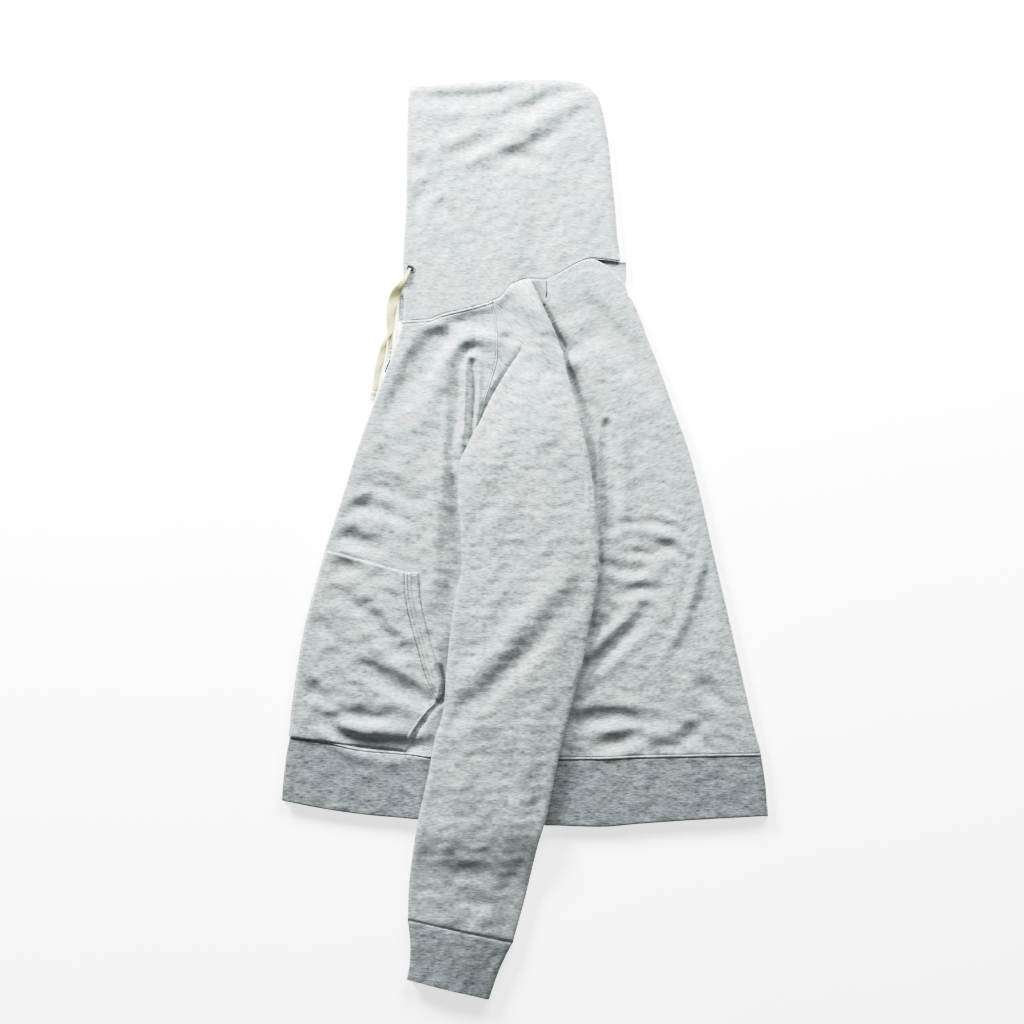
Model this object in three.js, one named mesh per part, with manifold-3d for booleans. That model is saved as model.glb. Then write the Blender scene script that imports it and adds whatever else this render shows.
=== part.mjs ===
// Zip hoodie in heather fleece, folded in half along its length and laid down flat: the
// wearer's left half is on top, the hood is up, and the left sleeve lies down the body.
// Millimetres. +X runs from the zip edge to the centre-back fold, +Y from the hem to the
// hood, and +Z up from the surface that the garment lies on.
import * as THREE from "three";
import { mergeVertices } from "three/addons/utils/BufferGeometryUtils.js";
import Module from "manifold-3d";

const wasm = await Module();
wasm.setup();

// Cloth thicknesses and gaps
const FLEECE = 2.4;
const RIB = 3.0;
const SEAM_GAP = 0.3;
const REST_GAP = 0.35;

// Heights above the surface
const BODY_LOFT = 10.6;
const ZIP_EDGE_LOFT = 11.5;
const ZIP_EDGE_ROLL = 1;
const BACK_FOLD_LOFT = 9.6;
const HOOD_LOFT = 9.8;
const HOOD_FACE_LOFT = 8.6;
const HOOD_SEAM_HEIGHT = 4.9;
const RIB_DROP = 0.8;
const UNDER_LAYER = 2.2;
const HIDDEN_SLEEVE_RISE = 5.6;
const HIDDEN_SLEEVE_TOP = 6.1;
const SLEEVE_LOFT = 8.4;
const SLEEVE_EDGE_LOFT = 5.2;
const CUFF_LOFT = 9.2;
const CUFF_EDGE_LOFT = 6.4;

// Pocket and facing
const FACING_RISE = 0.7;
const POCKET_WALL = 1.6;
const POCKET_EDGE_SET = 4;

// Zip tape, folded inside the front edge
const ZIP_INSET = 5.6;
const TAPE_WIDE = 9;
const TAPE_THICK = 0.9;

// Insets from an edge, and the cloth that turns under the centre-back fold
const EDGE_STEP = 2.5;
const HOLLOW_INSET = 8;
const CUFF_HOLLOW_INSET = 4.2;
const CORE_INSET = 18;
const CORE_CLEARANCE = 1.4;
const CROWN_INSET = 10;
const CROWN_CLEARANCE = 0.8;
const LAYER_ROUND = 0.7;
const FOLD_RETURN = 6;
const FOLD_RADIUS = BACK_FOLD_LOFT / 2;

// Drawcord
const CORD_WIDTH = 9;
const CORD_THICK = 1.6;
const CORD_SIDES = 8;

const table = (columns, rows) =>
  rows.map((row) => Object.fromEntries(columns.map((name, i) => [name, row[i]])));

// Both long edges of the folded body, from the hem up to the neck
const BODY_EDGES = table(
  ["y", "zip", "fold"],
  [
    [-318, -280.5, 279],
    [-301, -280, 278.6],
    [-250, -275, 272.3],
    [-225, -270.4, 265.8],
    [-200, -268.1, 259.6],
    [-150, -261.3, 248.2],
    [-100, -252.3, 236.8],
    [-50, -239.3, 225.1],
    [0, -225, 213.4],
    [50, -208.3, 202.3],
    [100, -192.8, 189.1],
    [150, -174.7, 171.1],
    [200, -155.8, 153.5],
    [228, -145.3, 142.2],
    [250, -139.8, 134.1],
    [270, -138.5, 125.6],
    [292, -138.5, 116.6],
  ],
);

// The hem band's sewn edge and its folded lower edge
const HEM = table(
  ["x", "seam", "bottom"],
  [
    [-280, -223.5, -299.9],
    [-230, -234.3, -310],
    [-180, -244.6, -316.9],
    [-130, -248.4, -321.2],
    [-105, -251.4, -323],
    [40, -253.8, -329.3],
    [87, -253.6, -330.7],
    [130, -251.9, -327.3],
    [200, -250.5, -322.5],
    [279, -249.3, -318.2],
  ],
);

// Seam between body and hood
const NECK = table(
  ["x", "y"],
  [
    [-140, 249.9],
    [-108, 252.2],
    [-97, 256.8],
    [-74, 262.5],
    [-51, 268.3],
    [-37, 272.9],
    [-28, 277.5],
    [-14, 292.4],
    [6, 298.2],
    [24, 297],
    [41, 305.1],
    [64, 317.7],
    [76, 321.2],
    [112, 317.7],
  ],
);

// Upper edge of the back: neck seam, then the rolled nape down to the fold
const BACK_TOP = table(
  ["x", "y"],
  [
    [25, 296.7],
    [41, 304.8],
    [64, 317.2],
    [76, 320.6],
    [92, 314.6],
    [104, 304.6],
    [116.6, 292],
  ],
);

const HOOD_SIDES = table(
  ["y", "face", "back"],
  [
    [250, -139.8, 112],
    [274, -138.6, 112],
    [318, -139.4, 110],
    [345, -138.2, 106.8],
    [377, -136, 104.3],
    [412, -135.3, 100.8],
    [446, -135, 97.4],
    [470, -134.6, 93.9],
    [492, -134, 89.3],
    [508, -133.6, 83.6],
    [519, -131.5, 73],
  ],
);

const HOOD_CROWN = table(
  ["x", "y"],
  [
    [-133.5, 518],
    [-97, 521.3],
    [-51, 524.7],
    [-5, 527],
    [30, 527.6],
    [58, 524.7],
    [73, 519],
    [83.6, 508],
  ],
);

// Front raglan seam, then the hidden side seam under the sleeve
const FRONT_SIDE = table(
  ["y", "x"],
  [
    [-251.5, -28],
    [60, -28],
    [78, -28.6],
    [108, -40],
    [136, -50],
    [159, -44.3],
    [182, -37.4],
    [210, -30.5],
    [228, -30.5],
    [251, -32],
    [272.6, -37.4],
  ],
);

// The hidden side seam, then where the back meets the sleeve and its back raglan seam
const BACK_SIDE = table(
  ["y", "x"],
  [
    [-253, -27.4],
    [60, -27.6],
    [78, -27],
    [113, -4],
    [159, 13],
    [185, 20],
    [205, 25],
    [214.2, 44.2],
    [223.7, 40.6],
    [234, 37],
    [253.6, 27.8],
    [270.8, 24.2],
    [280, 26.2],
    [296.7, 25],
  ],
);

// Sleeve: the two folded edges, a row for each section from the neck down to the cuff seam
const SLEEVE = table(
  ["leftX", "leftY", "rightX", "rightY"],
  [
    [-37, 272.3, 6.3, 297.8],
    [-29.4, 261.7, 17.8, 274.3],
    [-19, 245.6, 27, 253.6],
    [-8.7, 230.6, 36.2, 234.1],
    [-1.8, 222.6, 39.7, 223.7],
    [-5.2, 214.5, 43.1, 214.5],
    [-16.7, 197.3, 47.7, 193.8],
    [-28.2, 178.9, 52.3, 176.6],
    [-39.7, 158.2, 58, 155.9],
    [-48.9, 138.6, 63.8, 135.2],
    [-65, 107.6, 69.6, 111],
    [-74.2, 84.6, 74.2, 88],
    [-76.5, 50.1, 79.9, 50.1],
    [-73, 9.8, 83.3, 9.8],
    [-71.9, -30.4, 84.5, -27],
    [-78.8, -64.9, 80.5, -67.2],
    [-84.5, -105.2, 73, -105.2],
    [-89.1, -147.7, 65, -147.7],
    [-92.6, -193.7, 53.5, -191.4],
    [-103, -231.7, 44.3, -228.2],
    [-109.9, -268.5, 36.2, -263.9],
    [-120.2, -314.5, 25.9, -314.5],
    [-127.1, -352.4, 14.9, -352.4],
    [-132.9, -400.7, 1.7, -407.6],
    [-134, -437, -13.5, -463.4],
  ],
);
const SLEEVE_CAP_END = 4;
const SLEEVE_FULL = 10;

const CUFF = table(
  ["leftX", "leftY", "rightX", "rightY"],
  [
    [-134, -437.6, -13.8, -464],
    [-131.2, -466, -22.6, -480.5],
    [-131.8, -486, -30, -497],
    [-135.2, -505.4, -40.9, -528.4],
  ],
);

// The sleeve cloth that shows at body level in front of the folded edge, and what it covers:
// where its far edge lies, from the armpit up to the tip at the raglan seam
const FRONT_PLEAT = table(
  ["y", "x"],
  [
    [96, -26],
    [112, -10],
    [136, 3],
    [159, 12.5],
    [182, 18.6],
    [204, 20],
    [213.4, -6.2],
    [222.8, -2.8],
    [230.4, -9.4],
    [245.4, -19.7],
    [261, -29.7],
  ],
);

const BACK_PLEAT = table(
  ["leftX", "leftY", "rightX", "rightY"],
  [
    [8, 296.5, 24.2, 296],
    [13.4, 285, 24.9, 284],
    [18.6, 274.2, 23.4, 274],
    [22.3, 266, 23.9, 265.6],
  ],
);

// Pocket: sewn edge at the zip side, and the edge that meets the facing and the side stitching
const POCKET = table(
  ["leftY", "rightX", "rightY"],
  [
    [-228, -136, -246],
    [-212, -121, -219],
    [-196, -110, -203.5],
    [-180, -103, -187],
    [-155, -113, -163],
    [-130, -120, -140],
    [-105, -126.5, -117],
    [-80, -133, -94],
    [-50, -137.3, -68],
    [-16, -137.5, -38.5],
  ],
);

const FACING = table(
  ["leftX", "leftY", "rightX", "rightY"],
  [
    [-102.4, -186.4, -95, -187.5],
    [-104, -178, -91.6, -178],
    [-109.5, -166, -91.6, -168],
    [-119.6, -140, -101.8, -140],
    [-126.1, -117, -108.7, -117],
    [-132.6, -94, -114.5, -94],
    [-136.9, -68, -119, -70],
    [-137.1, -39.5, -122, -38.6],
  ],
);

// Corners of the panels, where a side meets the hem, the neck or the crown
const FRONT_CORNERS = { sideX: -28, neckLeftY: 249.6, neckRight: [-37.4, 272.3] };
const BACK_CORNERS = { hemLeftX: -27.4, hemRightX: 266, topLeft: [25, 296.7], topRight: [116.6, 292] };
const HOOD_CORNERS = {
  neckLeft: [-139.6, 250.4],
  neckRight: [112, 318.2],
  crownLeft: [-133.5, 518],
  crownRight: [83.6, 508],
};
const HIDDEN_CORNERS = { hemLeft: [-279, -299.9], hemRight: [268, -318.2], topLeftY: 250, topRightY: 314 };

// Folds and ridges in the cloth. Each is a line with a half width and a rise, which is
// negative in a trough.
const fold = (half, rise, ...line) => ({ half, rise, line });

const BODY_FOLDS = [
  fold(16, -3, [-53, 253], [-80, 249], [-109, 222], [-132, 194], [-149, 165], [-166, 150]),
  fold(11, 2.2, [-45, 226], [-72, 230], [-89, 211], [-97, 182]),
  fold(8, -2.8, [-66, 217], [-59, 182], [-60, 136], [-65, 115]),
  fold(12, -2.6, [-94, 173], [-86, 159], [-86, 125], [-93, 90], [-92, 33], [-92, -48], [-96, -94]),
  fold(10, -2.2, [-206, 50], [-143, 35]),
  fold(10, -2, [-218, 15], [-166, 0]),
  fold(11, -1.3, [-189, 69], [-143, 69]),
  fold(9, -1.2, [-224, -31], [-189, -37]),
  fold(9, -2, [-178, -77], [-160, -100], [-137, -129]),
  fold(9, -2.2, [-183, -146], [-160, -163], [-137, -175], [-109, -186]),
  fold(8, -1.5, [-206, -203], [-166, -206]),
  fold(8, -2.8, [-224, -211], [-206, -226], [-189, -235], [-143, -238], [-106, -234]),
  fold(7, 1.6, [-212, -214], [-143, -220]),
  fold(8, -1.5, [-247, -88], [-229, -106]),
  fold(8, -1.5, [-258, -163], [-229, -186]),
  fold(14, -2, [76, 303], [104, 274], [122, 240], [133, 205]),
  fold(9, -1.6, [55, 224], [87, 234], [104, 228]),
  fold(9, -2.2, [60, 182], [70, 159], [82, 136], [93, 113], [98, 67], [97, 27], [92, 1]),
  fold(9, -1.4, [104, 10], [156, 10]),
  fold(9, -2.2, [92, -10], [179, -10]),
  fold(8, -1.3, [92, -31], [133, -31]),
  fold(8, -1.2, [99, -54], [145, -54]),
  fold(10, -3, [133, -77], [110, -106], [87, -129], [74, -152], [66, -175]),
  fold(8, -1.5, [80, -94], [74, -117]),
  fold(8, -2.4, [56, -209], [76, -211], [104, -207]),
  fold(8, -1.6, [87, -238], [133, -226]),
  fold(8, -1.5, [191, -221], [202, -238]),
  fold(7, 1.6, [133, -209], [156, -232], [202, -215], [225, -236]),
  fold(11, -2.4, [208, 4], [200, -37], [195, -71], [190, -94], [172, -129]),
  fold(9, -1.8, [202, -163], [223, -190]),
];

const SLEEVE_FOLDS = [
  fold(11, -2.2, [-24, 276], [-8, 251], [-6, 234]),
  fold(13, 1.8, [-7, 300], [24, 240], [41, 205]),
  fold(30, -2, [-28, 33], [-8, -56]),
  fold(12, 3.4, [41, -48], [7, -88], [-28, -129], [-60, -160], [-82, -180]),
  fold(10, -3, [64, -60], [41, -83], [18, -111], [-11, -140], [-40, -169], [-66, -190], [-84, -212]),
  fold(9, -1.4, [-80, -379], [-45, -386]),
  fold(9, -1.4, [-68, -414], [-34, -419]),
];

const HOOD_FOLDS = [
  fold(10, -2.4, [-120, 509], [-86, 506], [-51, 506], [-28, 511], [-2, 521]),
  fold(9, -2, [-28, 487], [7, 493], [24, 502], [60, 515]),
  fold(11, 2.2, [-68, 435], [-28, 451], [7, 470], [41, 495], [66, 508]),
  fold(10, 1.5, [-97, 447], [-51, 470]),
  fold(8, -1.8, [-86, 441], [-63, 447], [-40, 455], [-11, 464]),
  fold(8, -2.2, [-34, 443], [-11, 440], [18, 432]),
  fold(8, -1.5, [-131, 429], [-114, 429]),
  fold(8, -1.6, [-129, 386], [-103, 406]),
  fold(8, -1.2, [-103, 389], [-80, 366]),
  fold(17, 1.8, [-14, 400], [-14, 310]),
];

// Routes of the drawcords, from where each leaves the hood to its bound end
const LEFT_CORD = [
  [-131.2, 309.6, 11.6],
  [-133.6, 303.8, 11.7],
  [-137, 297, 11.2],
  [-142.2, 290.6, 9],
  [-147.4, 282.4, 5.4],
  [-151, 272.4, 3.4],
  [-153, 261, 3],
  [-153.6, 250, 3],
  [-154, 240, 3],
  [-157.4, 231.8, 3],
  [-160.8, 224.6, 2.8],
  [-163.4, 214.5, 1.2],
  [-165.6, 205.5, 1],
  [-167.8, 196.3, 1],
  [-169.6, 187, 1],
  [-171, 178, 1],
  [-172.3, 169.8, 1],
];
const RIGHT_CORD = [
  [-145.4, 287.5, 1],
  [-148.6, 280.5, 1],
  [-151, 271.5, 1],
  [-152.6, 261, 1],
  [-153.2, 250, 1],
  [-153.4, 239, 1],
  [-154, 228, 1],
  [-154.7, 217.6, 1],
];
const LEFT_TIP = { at: [-174, 164, 1.5], width: 7.4, length: 10.4, thick: 2.4, turn: -9 };
const RIGHT_TIP = { at: [-155.3, 212.4, 1.5], width: 5, length: 9, thick: 2.2, turn: -7 };
const EYELET = { at: [-130.2, 312.6], radius: 3.6, ring: 1, high: 1.2 };

// Zip slider and its pull tab, at the zip edge
const SLIDER = { y: 204.4, z: 5.4, set: 1.2, wide: 5.2, long: 9, deep: 4.1, face: 0.6 };
const PULL = { long: 15.5, wide: 3.8, thick: 1.4, bar: 1.2, play: 0.8, eye: 4.2, window: 2.2 };
const BRIDGE = { wide: 1.2, thick: 0.8, long: 6.6, foot: 1 };

const clamp01 = (t) => Math.min(1, Math.max(0, t));
const mix = (a, b, t) => a + (b - a) * t;
const smooth = (from, to, value) => {
  const t = clamp01((value - from) / (to - from));
  return t * t * (3 - 2 * t);
};
// A quarter circle that rises from 0 at the edge to 1 at the given reach
const roundOff = (distance, reach) => Math.sqrt(1 - (1 - clamp01(distance / reach)) ** 2);

// The smooth curve through a table's rows, which never swings past them: column `to` where
// column `from` is `at`
function follow(rows, from, to, at) {
  const last = rows.length - 1;
  if (at <= rows[0][from]) return rows[0][to];
  if (at >= rows[last][from]) return rows[last][to];
  const i = rows.findIndex((row) => row[from] > at) - 1;
  const secant = (j) => (rows[j + 1][to] - rows[j][to]) / (rows[j + 1][from] - rows[j][from]);
  const slope = (j) => {
    if (j === 0) return secant(0);
    if (j === last) return secant(last - 1);
    const before = secant(j - 1);
    const after = secant(j);
    return before * after <= 0 ? 0 : (2 * before * after) / (before + after);
  };
  const span = rows[i + 1][from] - rows[i][from];
  const t = (at - rows[i][from]) / span;
  const t2 = t * t;
  const t3 = t2 * t;
  return (
    (2 * t3 - 3 * t2 + 1) * rows[i][to] +
    (t3 - 2 * t2 + t) * span * slope(i) +
    (3 * t2 - 2 * t3) * rows[i + 1][to] +
    (t3 - t2) * span * slope(i + 1)
  );
}

const zipAt = (y) => follow(BODY_EDGES, "y", "zip", y);
const foldAt = (y) => follow(BODY_EDGES, "y", "fold", y);
const faceAt = (y) => follow(HOOD_SIDES, "y", "face", y);
const hoodBackAt = (y) => follow(HOOD_SIDES, "y", "back", y);
const crownLine = (x) => follow(HOOD_CROWN, "x", "y", x);
const hemSeam = (x) => follow(HEM, "x", "seam", x);
const hemBottom = (x) => follow(HEM, "x", "bottom", x);
const neckLine = (x) => follow(NECK, "x", "y", x);
const backTopLine = (x) => follow(BACK_TOP, "x", "y", x);

function distanceToLine(line, x, y) {
  let nearest = Infinity;
  for (let i = 0; i + 1 < line.length; i += 1) {
    const [ax, ay] = line[i];
    const [bx, by] = line[i + 1];
    const dx = bx - ax;
    const dy = by - ay;
    const t = clamp01(((x - ax) * dx + (y - ay) * dy) / (dx * dx + dy * dy));
    nearest = Math.min(nearest, Math.hypot(x - ax - t * dx, y - ay - t * dy));
  }
  return nearest;
}

const relief = (folds, x, y) =>
  folds.reduce(
    (sum, { half, rise, line }) => sum + rise * Math.exp(-((distanceToLine(line, x, y) / half) ** 2)),
    0,
  );

// Left and right edge of the sleeve at a height y below its cap
const SLEEVE_SPAN = SLEEVE.slice()
  .reverse()
  .map((row) => ({ y: (row.leftY + row.rightY) / 2, left: row.leftX, right: row.rightX }));
const sleeveLeft = (y) => follow(SLEEVE_SPAN, "y", "left", y);
const sleeveRight = (y) => follow(SLEEVE_SPAN, "y", "right", y);

// The other sleeve lies under the body, straight below this one
function hiddenSleeveRise(x, y) {
  const inside = Math.min(x - sleeveLeft(y), sleeveRight(y) - x);
  return HIDDEN_SLEEVE_RISE * smooth(-26, 18, inside) * (1 - smooth(110, 215, y));
}

// Upper surface of the body cloth, from the zip edge to the centre-back fold
function bodyTop(x, y) {
  const fromZip = x - zipAt(y);
  const fromFold = foldAt(y) - x;
  const level =
    BODY_LOFT +
    (ZIP_EDGE_LOFT - BODY_LOFT) * (1 - smooth(8, 34, fromZip)) -
    (BODY_LOFT - BACK_FOLD_LOFT) * (1 - smooth(4, 34, fromFold));
  const rolled = ZIP_EDGE_ROLL * (1 - roundOff(fromZip, 5));
  const calm = smooth(2, 18, fromFold) * smooth(2, 24, fromZip);
  return level - rolled + hiddenSleeveRise(x, y) + calm * relief(BODY_FOLDS, x, y);
}

function hoodTop(x, y) {
  const fromFace = x - faceAt(y);
  const fromBack = hoodBackAt(y) - x;
  const fromCrown = crownLine(x) - y;
  const fromSeam = y < 325 ? fromCrown : Math.min(fromBack, fromCrown);
  const faceDrop = (HOOD_LOFT - HOOD_FACE_LOFT) * (1 - smooth(4, 26, fromFace));
  const level = HOOD_LOFT - faceDrop - 1.2 * (1 - roundOff(fromFace, 4));
  const rolled = (level - HOOD_SEAM_HEIGHT) * (1 - roundOff(fromSeam, 9));
  const neckBlend = smooth(250, 330, y);
  const calm = smooth(3, 16, fromSeam) * smooth(-2, 12, fromFace) * neckBlend;
  return mix(level, level - rolled, smooth(318, 335, y)) + calm * relief(HOOD_FOLDS, x, y);
}

// Highest and lowest value of a surface near a point, for cloth that rests on it or under it
const AROUND = [-1, 0, 1].flatMap((i) => [-1, 0, 1].map((j) => [i, j]));
const nearby = (surface, reach, pick) => (x, y) =>
  pick(...AROUND.map(([i, j]) => surface(x + i * reach, y + j * reach)));
const highestBody = nearby(bodyTop, 8, Math.max);
const lowestBody = nearby(bodyTop, 14, Math.min);
const pocketBed = nearby(bodyTop, 5, Math.max);
const lowestHood = nearby(hoodTop, 10, Math.min);

// A closed mesh between two grids of points that share their outline's order
function gridGeometry(upper, lower) {
  const rows = upper.length;
  const columns = upper[0].length;
  const positions = [...upper.flat(), ...lower.flat()].flatMap((p) => p);
  const at = (side, r, c) => side * rows * columns + r * columns + c;
  const index = [];
  const quad = (a, b, c, d) => index.push(a, b, c, a, c, d);
  for (let r = 0; r + 1 < rows; r += 1)
    for (let c = 0; c + 1 < columns; c += 1) {
      quad(at(0, r, c), at(0, r, c + 1), at(0, r + 1, c + 1), at(0, r + 1, c));
      quad(at(1, r, c), at(1, r + 1, c), at(1, r + 1, c + 1), at(1, r, c + 1));
    }
  for (let r = 0; r + 1 < rows; r += 1) {
    quad(at(0, r, 0), at(0, r + 1, 0), at(1, r + 1, 0), at(1, r, 0));
    quad(at(0, r + 1, columns - 1), at(0, r, columns - 1), at(1, r, columns - 1), at(1, r + 1, columns - 1));
  }
  for (let c = 0; c + 1 < columns; c += 1) {
    quad(at(0, 0, c + 1), at(0, 0, c), at(1, 0, c), at(1, 0, c + 1));
    quad(at(0, rows - 1, c), at(0, rows - 1, c + 1), at(1, rows - 1, c + 1), at(1, rows - 1, c));
  }
  const geometry = new THREE.BufferGeometry();
  geometry.setAttribute("position", new THREE.Float32BufferAttribute(positions, 3));
  geometry.setIndex(index);
  if (signedVolume(geometry) < 0) index.reverse();
  geometry.setIndex(index);
  return geometry;
}

function signedVolume(geometry) {
  const position = geometry.getAttribute("position");
  const corners = [0, 1, 2].map(() => new THREE.Vector3());
  let sum = 0;
  for (let i = 0; i < geometry.index.count; i += 3) {
    corners.forEach((corner, k) => corner.fromBufferAttribute(position, geometry.index.getX(i + k)));
    sum += corners[0].dot(corners[1].cross(corners[2])) / 6;
  }
  return sum;
}

// Joins and cuts
function toSolid(geometry) {
  const plain = geometry.clone();
  plain.deleteAttribute("normal");
  plain.deleteAttribute("uv");
  const merged = mergeVertices(plain, 1e-4);
  return new wasm.Manifold(
    new wasm.Mesh({
      numProp: 3,
      vertProperties: new Float32Array(merged.getAttribute("position").array),
      triVerts: new Uint32Array(merged.index.array),
    }),
  );
}

function toGeometry(solid) {
  const mesh = solid.getMesh();
  const geometry = new THREE.BufferGeometry();
  geometry.setAttribute("position", new THREE.BufferAttribute(mesh.vertProperties, 3));
  geometry.setIndex(new THREE.BufferAttribute(mesh.triVerts, 1));
  return geometry;
}

const joined = (parts) => toGeometry(parts.map(toSolid).reduce((whole, part) => whole.add(part)));
const cut = (body, tool) => toGeometry(toSolid(body).subtract(toSolid(tool)));

// Shares of a row's width: an edge, a step in from it, even steps across, and the same back
function stationsAcross(width, count, steps = [0, EDGE_STEP]) {
  const inner = steps[steps.length - 1];
  const middle = [];
  for (let i = 1; i < count; i += 1) middle.push(inner + ((width - 2 * inner) * i) / count);
  return [...steps, ...middle, ...steps.map((step) => width - step).reverse()].map((d) => d / width);
}

// Rows of points from a left edge to a right edge. Each row is {left, right, bend}, where bend
// gives how far a point at x is moved along y.
function layRows(rows, count, steps) {
  return rows.map(({ left, right, bend = () => 0 }) => {
    const width = Math.hypot(right[0] - left[0], right[1] - left[1]);
    return stationsAcross(width, count, steps).map((share) => {
      const x = mix(left[0], right[0], share);
      return { x, y: mix(left[1], right[1], share) + bend(x), edge: Math.min(share, 1 - share) * width };
    });
  });
}

const slab = (points, top, underside) =>
  gridGeometry(
    points.map((row, r) => row.map((p) => [p.x, p.y, top(p, r)])),
    points.map((row, r) => row.map((p) => [p.x, p.y, underside(p, r)])),
  );

const flatPiece = (rows, count, steps) =>
  slab(layRows(rows, count, steps), ({ x, y }) => bodyTop(x, y), ({ x, y }) => bodyTop(x, y) - FLEECE);

const evenly = (count, from, to) => Array.from({ length: count + 1 }, (_, i) => mix(from, to, i / count));

// How far a curve lies from the straight line between two points
const offChord = (curve, from, to) => (x) => {
  const share = clamp01((x - from[0]) / (to[0] - from[0]));
  return curve(mix(from[0], to[0], share)) - mix(from[1], to[1], share);
};

const sectionRows = (rows) =>
  rows.map((row) => ({ left: [row.leftX, row.leftY], right: [row.rightX, row.rightY] }));

// A section table with more rows laid in wherever two lie further apart than the pitch
function refine(rows, pitch) {
  const out = [];
  rows.forEach((row, i) => {
    out.push({ ...row, at: i });
    const next = rows[i + 1];
    if (!next) return;
    const parts = Math.ceil(Math.hypot(next.leftX - row.leftX, next.leftY - row.leftY) / pitch);
    for (let k = 1; k < parts; k += 1) {
      const step = { at: i + k / parts };
      Object.keys(row).forEach((key) => {
        step[key] = mix(row[key], next[key], k / parts);
      });
      out.push(step);
    }
  });
  return out;
}

const FRONT_ROWS = evenly(28, 0, 1);
const FRONT_RIGHT_ENDS = { low: hemSeam(FRONT_CORNERS.sideX) + SEAM_GAP, high: FRONT_CORNERS.neckRight[1] };

function frontLeft() {
  const { sideX, neckLeftY, neckRight } = FRONT_CORNERS;
  const lowLeftY = hemSeam(zipAt(HEM[0].seam)) + SEAM_GAP;
  const hemEnds = [
    [zipAt(lowLeftY), lowLeftY],
    [sideX, FRONT_RIGHT_ENDS.low],
  ];
  const neckEnds = [[zipAt(neckLeftY), neckLeftY], neckRight];
  const atHem = offChord((x) => hemSeam(x) + SEAM_GAP, ...hemEnds);
  const atNeck = offChord((x) => neckLine(x) - SEAM_GAP, ...neckEnds);
  const rows = FRONT_ROWS.map((t) => {
    const leftY = mix(lowLeftY, neckLeftY, t);
    const rightY = mix(FRONT_RIGHT_ENDS.low, FRONT_RIGHT_ENDS.high, t);
    const left = [zipAt(leftY), leftY];
    const right = [follow(FRONT_SIDE, "y", "x", rightY), rightY];
    return { left, right, bend: (x) => (1 - t) ** 3 * atHem(x) + t ** 3 * atNeck(x) };
  });
  return flatPiece(rows, 12);
}

// Where the front's own edge runs between its rows, so that its neighbour can follow it
function frontSideEdge(y) {
  const ys = FRONT_ROWS.map((t) => mix(FRONT_RIGHT_ENDS.low, FRONT_RIGHT_ENDS.high, t));
  const i = Math.min(ys.length - 2, ys.findIndex((rowY) => rowY > y) - 1);
  const share = (y - ys[i]) / (ys[i + 1] - ys[i]);
  const edge = (rowY) => follow(FRONT_SIDE, "y", "x", rowY);
  return mix(edge(ys[i]), edge(ys[i + 1]), share);
}

function frontPleat() {
  const own = FRONT_ROWS.map((t) => mix(FRONT_RIGHT_ENDS.low, FRONT_RIGHT_ENDS.high, t));
  const first = FRONT_PLEAT[0].y;
  const last = FRONT_PLEAT[FRONT_PLEAT.length - 1].y;
  const ys = [...own, ...FRONT_PLEAT.map(({ y }) => y)].filter((y) => y >= first && y <= last);
  const rows = ys
    .sort((a, b) => a - b)
    .filter((y, i, all) => i === 0 || y - all[i - 1] > 0.5)
    .map((y) => {
      const i = Math.max(1, FRONT_PLEAT.findIndex((row) => row.y >= y));
      const from = FRONT_PLEAT[i - 1];
      const to = FRONT_PLEAT[i];
      const right = mix(from.x, to.x, (y - from.y) / (to.y - from.y));
      return { left: [frontSideEdge(y) + SEAM_GAP, y], right: [right, y] };
    });
  return flatPiece(rows, 4, [0]);
}

// Cloth that lies flat and then turns down round the centre-back fold and a little way under
function wrapped(rows, count, wall, drop) {
  const flat = layRows(rows, count, [0]);
  const turns = [60, 25, -15, -55, -90].map(THREE.MathUtils.degToRad);
  const upper = [];
  const lower = [];
  flat.forEach((row) => {
    const edge = row[row.length - 1];
    const height = bodyTop(edge.x, edge.y) - drop;
    const radius = height / 2;
    const round = (angle, r) => [edge.x + r * Math.cos(angle), edge.y, radius + r * Math.sin(angle)];
    upper.push([
      ...row.map(({ x, y }) => [x, y, bodyTop(x, y) - drop]),
      ...turns.map((angle) => round(angle, radius)),
      [edge.x - FOLD_RETURN, edge.y, 0],
    ]);
    lower.push([
      ...row.map(({ x, y }) => [x, y, bodyTop(x, y) - drop - wall]),
      ...turns.map((angle) => round(angle, radius - wall)),
      [edge.x - FOLD_RETURN, edge.y, wall],
    ]);
  });
  return gridGeometry(upper, lower);
}

function back() {
  const leftYs = [
    ...evenly(19, hemSeam(BACK_CORNERS.hemLeftX) + SEAM_GAP, 159),
    ...[185, 205, 214.2, 223.7, 234, 244, 253.6, 270.8, 283, 296.7],
  ];
  const { hemLeftX, hemRightX, topLeft, topRight } = BACK_CORNERS;
  const low = leftYs[0];
  const lowRight = hemSeam(hemRightX) + SEAM_GAP;
  const atHem = offChord((x) => hemSeam(x) + SEAM_GAP, [hemLeftX, low], [hemRightX, lowRight]);
  const atTop = offChord(backTopLine, topLeft, topRight);
  const rows = leftYs.map((leftY, i) => {
    const t = i / (leftYs.length - 1);
    const share = (leftY - low) / (topLeft[1] - low);
    const rightY = mix(lowRight, topRight[1], share);
    return {
      left: [follow(BACK_SIDE, "y", "x", leftY), leftY],
      right: [foldAt(rightY) - FOLD_RADIUS, rightY],
      bend: (x) => (1 - share) ** 3 * atHem(x) + t ** 9 * atTop(x),
    };
  });
  return wrapped(rows, 14, FLEECE, 0);
}

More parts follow.
